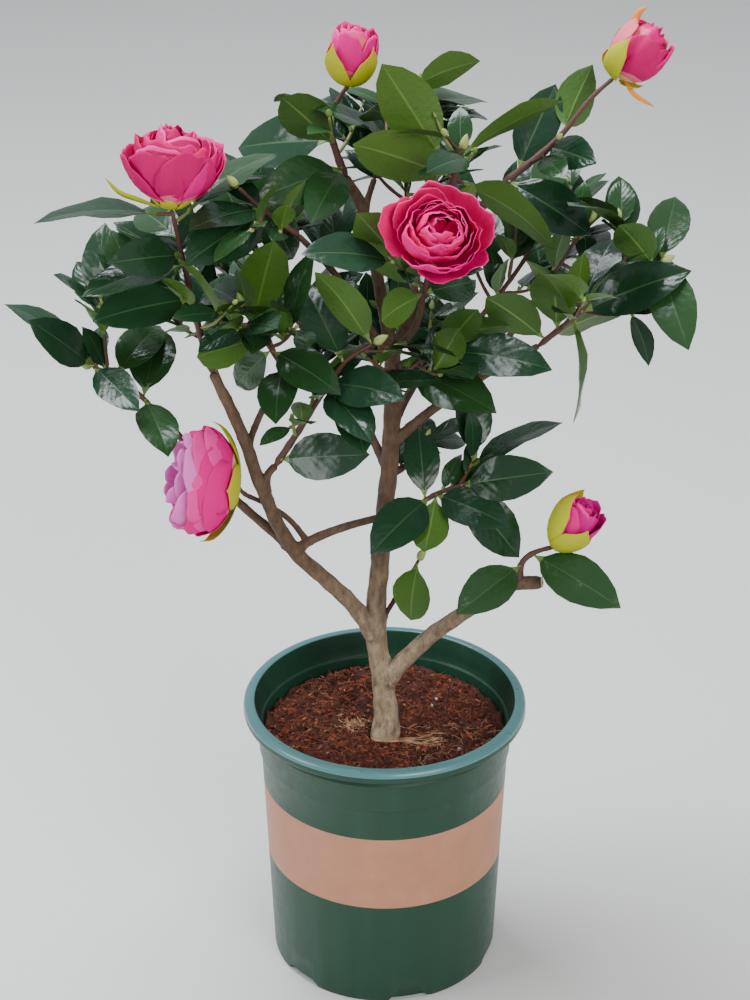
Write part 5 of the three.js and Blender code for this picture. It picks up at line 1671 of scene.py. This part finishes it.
def petal_ruffle(look, luck, t, x, v, half):
    """How far the petal stands off its even surface, and how far its rim rises.

    Two waves across it grow as x^2.5, a cup or a roll back as v^2 x, and a third lifts the rim as x^4."""
    phase = luck.uniform(0, WHOLE_TURN, (look["count"], 3, 1, 1))
    crumple = look["ruffle"] * level((0.55, 1), t)
    waves = 1.3 * np.sin(2 * np.pi * 0.75 * v + phase[:, 0]) + 0.9 * np.sin(2 * np.pi * 1.7 * v + phase[:, 1])
    cupped = (level((0.16, -0.04), t) + uneven(look, luck, 0.07)) * half * v ** 2 * x
    rim = 0.9 * crumple * np.sin(2 * np.pi * 1.4 * v + phase[:, 2]) * x ** 4
    return crumple * waves * x ** 2.5 - cupped, rim


print("points of one petal:", PETAL_ROWS * PETAL_COLUMNS)

# %% [markdown]
# The parts come together in one array of petals, which is then scaled to the width and depth of the plain
# bloom and turned to its facing. Sepals are scaled as the petals of their flower are. A bloom that is seen
# from the side can be drawn taller or lower than round.

# %% Petals


def petal_grids(bloom, look, luck, fit=None):
    """Petals from the innermost to the outermost: grids, texture places, and the scale that fits the box.

    A point is foot + up x axis + out cos a x side + out sin a x top, with a the petal's turn and its wrap,
    which is half the width / (out + 2.5), at most 1.35."""
    k = np.arange(look["count"])[:, None, None]
    t = k / max(1, look["count"] - 1)
    u = np.append(np.linspace(0, 0.95, PETAL_ROWS - 1), 1)[None, :, None]
    v = np.linspace(-1, 1, PETAL_COLUMNS)[None, None]
    x, lean, out, up = petal_line(look, luck, t, u, v)
    half = petal_half_width(look, luck, t, x)
    wrap = np.minimum(half / (np.abs(out) + WRAP_SLACK), WRAP_MOST)
    off, rim = petal_ruffle(look, luck, t, x, v, half)
    out = out + look.get("outside", 0)
    out, up = out + off * np.cos(lean), up - off * np.sin(lean) + rim
    grown = look.get("grown", 1)
    wide, high = fit or (grown * bloom["across"] / 2 / out.max(), grown * (bloom["deep"] - 1) / up.max())
    turn = np.radians(look.get("step", GOLDEN_ANGLE) * k + look["spin"]) + uneven(look, luck, 0.12) + v * wrap
    axis, side, top = facing_frame(bloom["heading"], bloom["lift"])
    out, up, top = np.maximum(out, 0.05) * wide, up * high, top * look.get("tall", 1)
    aside = look["ruffle"] * luck.normal(0, 1.6, (look["count"], 2, 1, 1)) * (1 - t[:, None]) ** 1.5
    foot = bloom["foot"] + RAISED.get(bloom["mass"], 0) * UP
    grid = (foot + up[..., None] * axis + (out * np.cos(turn) + aside[:, 0])[..., None] * side
            + (out * np.sin(turn) + aside[:, 1])[..., None] * top)
    return grid, np.stack(np.broadcast_arrays(0.5 + 0.5 * v, u), axis=-1)[0], (wide, high)


# %% [markdown]
# Each bloom starts from a full or a closed flower and changes what differs: how many petals, how they lean
# and curl, and their colours. A row of numbers, such as reach, runs from the innermost petal to the
# outermost.

# %% How each bloom looks
PETAL_COLORS = [
    ("rose petal", (0.7, 0.001, 0.2)), ("deep rose petal", (0.5, 0.001, 0.11)),
    # The pale rose is a real petal colour, and also the painted highlight on petal rims.
    ("pale rose petal and painted highlight", (0.82, 0.04, 0.3)), ("cream petal foot", (0.8, 0.52, 0.22)),
    ("yellow-green sepal", (0.42, 0.43, 0.02)), ("lilac petal", (0.76, 0.17, 0.55)),
    ("blush petal", (0.78, 0.14, 0.22)), ("peach edge", (0.8, 0.28, 0.05)),
    ("magenta petal", (0.6, 0.001, 0.22)), ("bright rose petal", (0.8, 0.001, 0.2)),
]
ROSE, DEEP, PALE, CREAM, SEPAL, LILAC, BLUSH, PEACH, MAGENTA, BRIGHT = range(len(PETAL_COLORS))
FULL = {
    "count": 38, "start": (0.6, 3.0), "base": (58, 74, 81), "curl": (4.4, 3.2, 2.0), "reach": (23, 30, 36),
    "width": (14, 19, 22), "rise": (14, 6, 1), "shoulder": 0.36, "blunt": 3.2, "ruffle": 1.0, "spin": 0,
    "colors": (ROSE, DEEP, ROSE, DEEP, MAGENTA), "foot": (CREAM, CREAM, BLUSH),
}
CLOSED = {
    "count": 20, "start": (0.6, 3.0), "base": (16, 36, 56), "curl": (1.2, 1.7, 2.1), "reach": (24, 32, 38),
    "width": (9, 14, 19), "rise": (9, 4, 1), "shoulder": 0.34, "blunt": 2.8, "ruffle": 0.6, "spin": 0,
    "colors": (ROSE, ROSE, MAGENTA), "foot": (CREAM, CREAM, BLUSH),
}
CALYX = {
    "count": 5, "step": 72, "start": (3.0,), "base": (76,), "curl": (4.2,), "reach": (13,), "width": (8,),
    "rise": (-0.6,), "shoulder": 0.5, "blunt": 1.4, "ruffle": 0.25, "spin": 10, "point": 0.45,
}
CUP = {
    **CALYX, "count": 4, "step": 90, "base": (60,), "curl": (2.1,), "width": (17,), "point": 0.95,
    "ruffle": 0.12, "shoulder": 0.3, "outside": 2.0,
}
LOOKS = {
    "left_top_foliage": (
        {**FULL, "count": 46, "grown": 1.06, "colors": (DEEP, DEEP, ROSE, DEEP, BRIGHT)}, CALYX),
    "front_foliage": (
        {**FULL, "count": 34, "grown": 1.02, "tall": 0.86, "spin": 40,
         "colors": (BRIGHT, BRIGHT, BRIGHT, ROSE)}, CALYX),
    "top_left_foliage": (
        {**CLOSED, "base": (20, 45, 74), "curl": (1.6, 2.2, 2.7), "colors": (PALE, PALE, ROSE, BLUSH)},
        {**CUP, "base": (78,), "curl": (2.8,), "reach": (34, 32, 31, 34), "spin": 25}),
    "upper_right_foliage": (
        {**CLOSED, "count": 28, "base": (20, 50, 82), "curl": (2.1, 2.7, 3.2), "ruffle": 0.9, "spin": 70,
         "colors": (ROSE, DEEP, ROSE, DEEP, BLUSH)},
        {**CUP, "count": 3, "step": 130, "base": (84,), "curl": (3.2,), "reach": (33, 14, 16), "width": (10,),
         "spin": -40}),
    "low_right_foliage": (
        {**CLOSED, "colors": (MAGENTA, ROSE, MAGENTA)},
        {**CUP, "reach": (46, 33, 24, 42), "point": 0.85, "spin": -66}),
    "hanging_flower": (
        {**CLOSED, "count": 34, "base": (30, 54, 64, 78), "curl": (1.3, 1.7, 2.2, 3.0), "tall": 1.36,
         "reach": (34, 36, 33, 27), "rise": (9, 6, 3, 1), "width": (9, 14, 17, 18), "ruffle": 0.45,
         "tiers": (LILAC, LILAC, LILAC, LILAC, PALE, ROSE, PALE, ROSE), "foot": (PEACH, CREAM, CREAM)},
        {**CUP, "base": (76,), "curl": (2.8,), "reach": (18, 27, 25, 27), "width": (12,), "tall": 1.36,
         "outside": 0.9, "spin": 190}),
}
print("petals in all:", sum(petals["count"] for petals, _ in LOOKS.values()))

# %% [markdown]
# The outer half of the petals is creamy or peach at the foot, and a quarter of all have a painted highlight
# in pale rose along the rim. The hanging flower's colours lie in tiers, lilac in the middle and rose
# outside. The others are dealt their colours by chance.

# %% Blooms
RIM_HIGHLIGHT_SHARE = 0.25
bloom_sheets, hanging_sheets = Sheets(), Sheets()
for number, bloom in enumerate(blooms):
    luck = np.random.default_rng(31 + number)
    petals_look, sepals_look = LOOKS[bloom["mass"]]
    sheets = hanging_sheets if bloom["mass"] == "hanging_flower" else bloom_sheets
    grid, places, fit = petal_grids(bloom, petals_look, luck)
    count, faces = petals_look["count"], PETAL_ROWS - 1
    deal = luck.choice(petals_look["colors"], count)
    if "tiers" in petals_look:
        deal = np.array(petals_look["tiers"])[np.arange(count) * len(petals_look["tiers"]) // count]
    finishes = np.broadcast_to(deal[:, None, None], (count, faces, PETAL_COLUMNS - 1)).copy()
    foot = np.array(petals_look["foot"])
    finishes[count // 2:, :len(foot)] = foot[:, None]
    # Painted highlight: the last row of a quarter of the petals takes the pale rose.
    finishes[luck.uniform(0, 1, count) < RIM_HIGHLIGHT_SHARE, -1] = PALE
    sheets.add(grid, finishes.ravel(), places)
    grid, places, _ = petal_grids(bloom, sepals_look, luck, fit)
    finishes = np.full((sepals_look["count"], faces, PETAL_COLUMNS - 1), SEPAL)
    finishes[::2, -1] = PEACH
    sheets.add(grid, finishes.ravel(), places)
    print(bloom["mass"], "petals:", count, "sepals:", sepals_look["count"])

# %% [markdown]
# Three long bud scales have bent away from their flowers. Each is a narrow strip along a curve: its half
# width is its greatest x sin(pi s)^0.7, with s the share of its length, and its two edges are lifted a
# little.

# %% Loose scales
LOOSE_SCALES = [
    ([(-118, -49, 503), (-128.4, -50, 507.5), (-138, -50, 511.5), (-144.9, -50, 519.4)], 1.5, SEPAL),
    ([(127, 42.5, 548), (131.2, 42, 543), (136.6, 42, 535.5), (147.9, 42, 528.7)], 1.3, PEACH),
    ([(131, 43, 566), (136, 43, 580), (141, 43, 584)], 2.4, PEACH),
]
edge = np.array([-1, 0, 1.0])
for places, wide, number in LOOSE_SCALES:
    line = Line(smooth_line(places, 4))
    across, over = carried_frame(line.points)
    half = wide * np.sin(np.pi * np.clip(line.lengths / line.total, 0.08, 1)) ** 0.7
    strip = line.points[:, None] + (half[:, None] * edge)[..., None] * across[:, None]
    strip = strip + 0.5 * np.abs(edge)[None, :, None] * over[:, None]
    bloom_sheets.add(strip[None], number)
print("loose scales:", len(LOOSE_SCALES))

# %% [markdown]
# A petal is matt and soft, with fine ribs from foot to rim: noise on its own texture places, drawn out
# along its length. It is a single surface so far, and the Solidify modifier gives it a skin of 0.3 mm.

# %% Petal finishes
PETAL_SKIN, PETAL_MERGE = 0.0003, 1e-7
petal_finishes = []
for name, color in PETAL_COLORS:
    petal = finish(name, color, 0.65, Specular_IOR_Level=0.12)
    ribs = stretched(petal, coordinates(petal, "UV"), (26, 2, 1))
    bump(petal, noise(petal, ribs, 1.0, 4), 0.0003)
    petal_finishes.append(petal)
petal_pieces = (("blooms", bloom_sheets, []), ("hanging_bloom", hanging_sheets, ["hanging_flower"]))
for name, sheets, nodes in petal_pieces:
    piece = sheets.piece(name, petal_finishes, "petals", replaces=nodes, merge=PETAL_MERGE)
    skin = piece.modifiers.new("petal thickness", "SOLIDIFY")
    skin.thickness = PETAL_SKIN
    skin.offset = 0
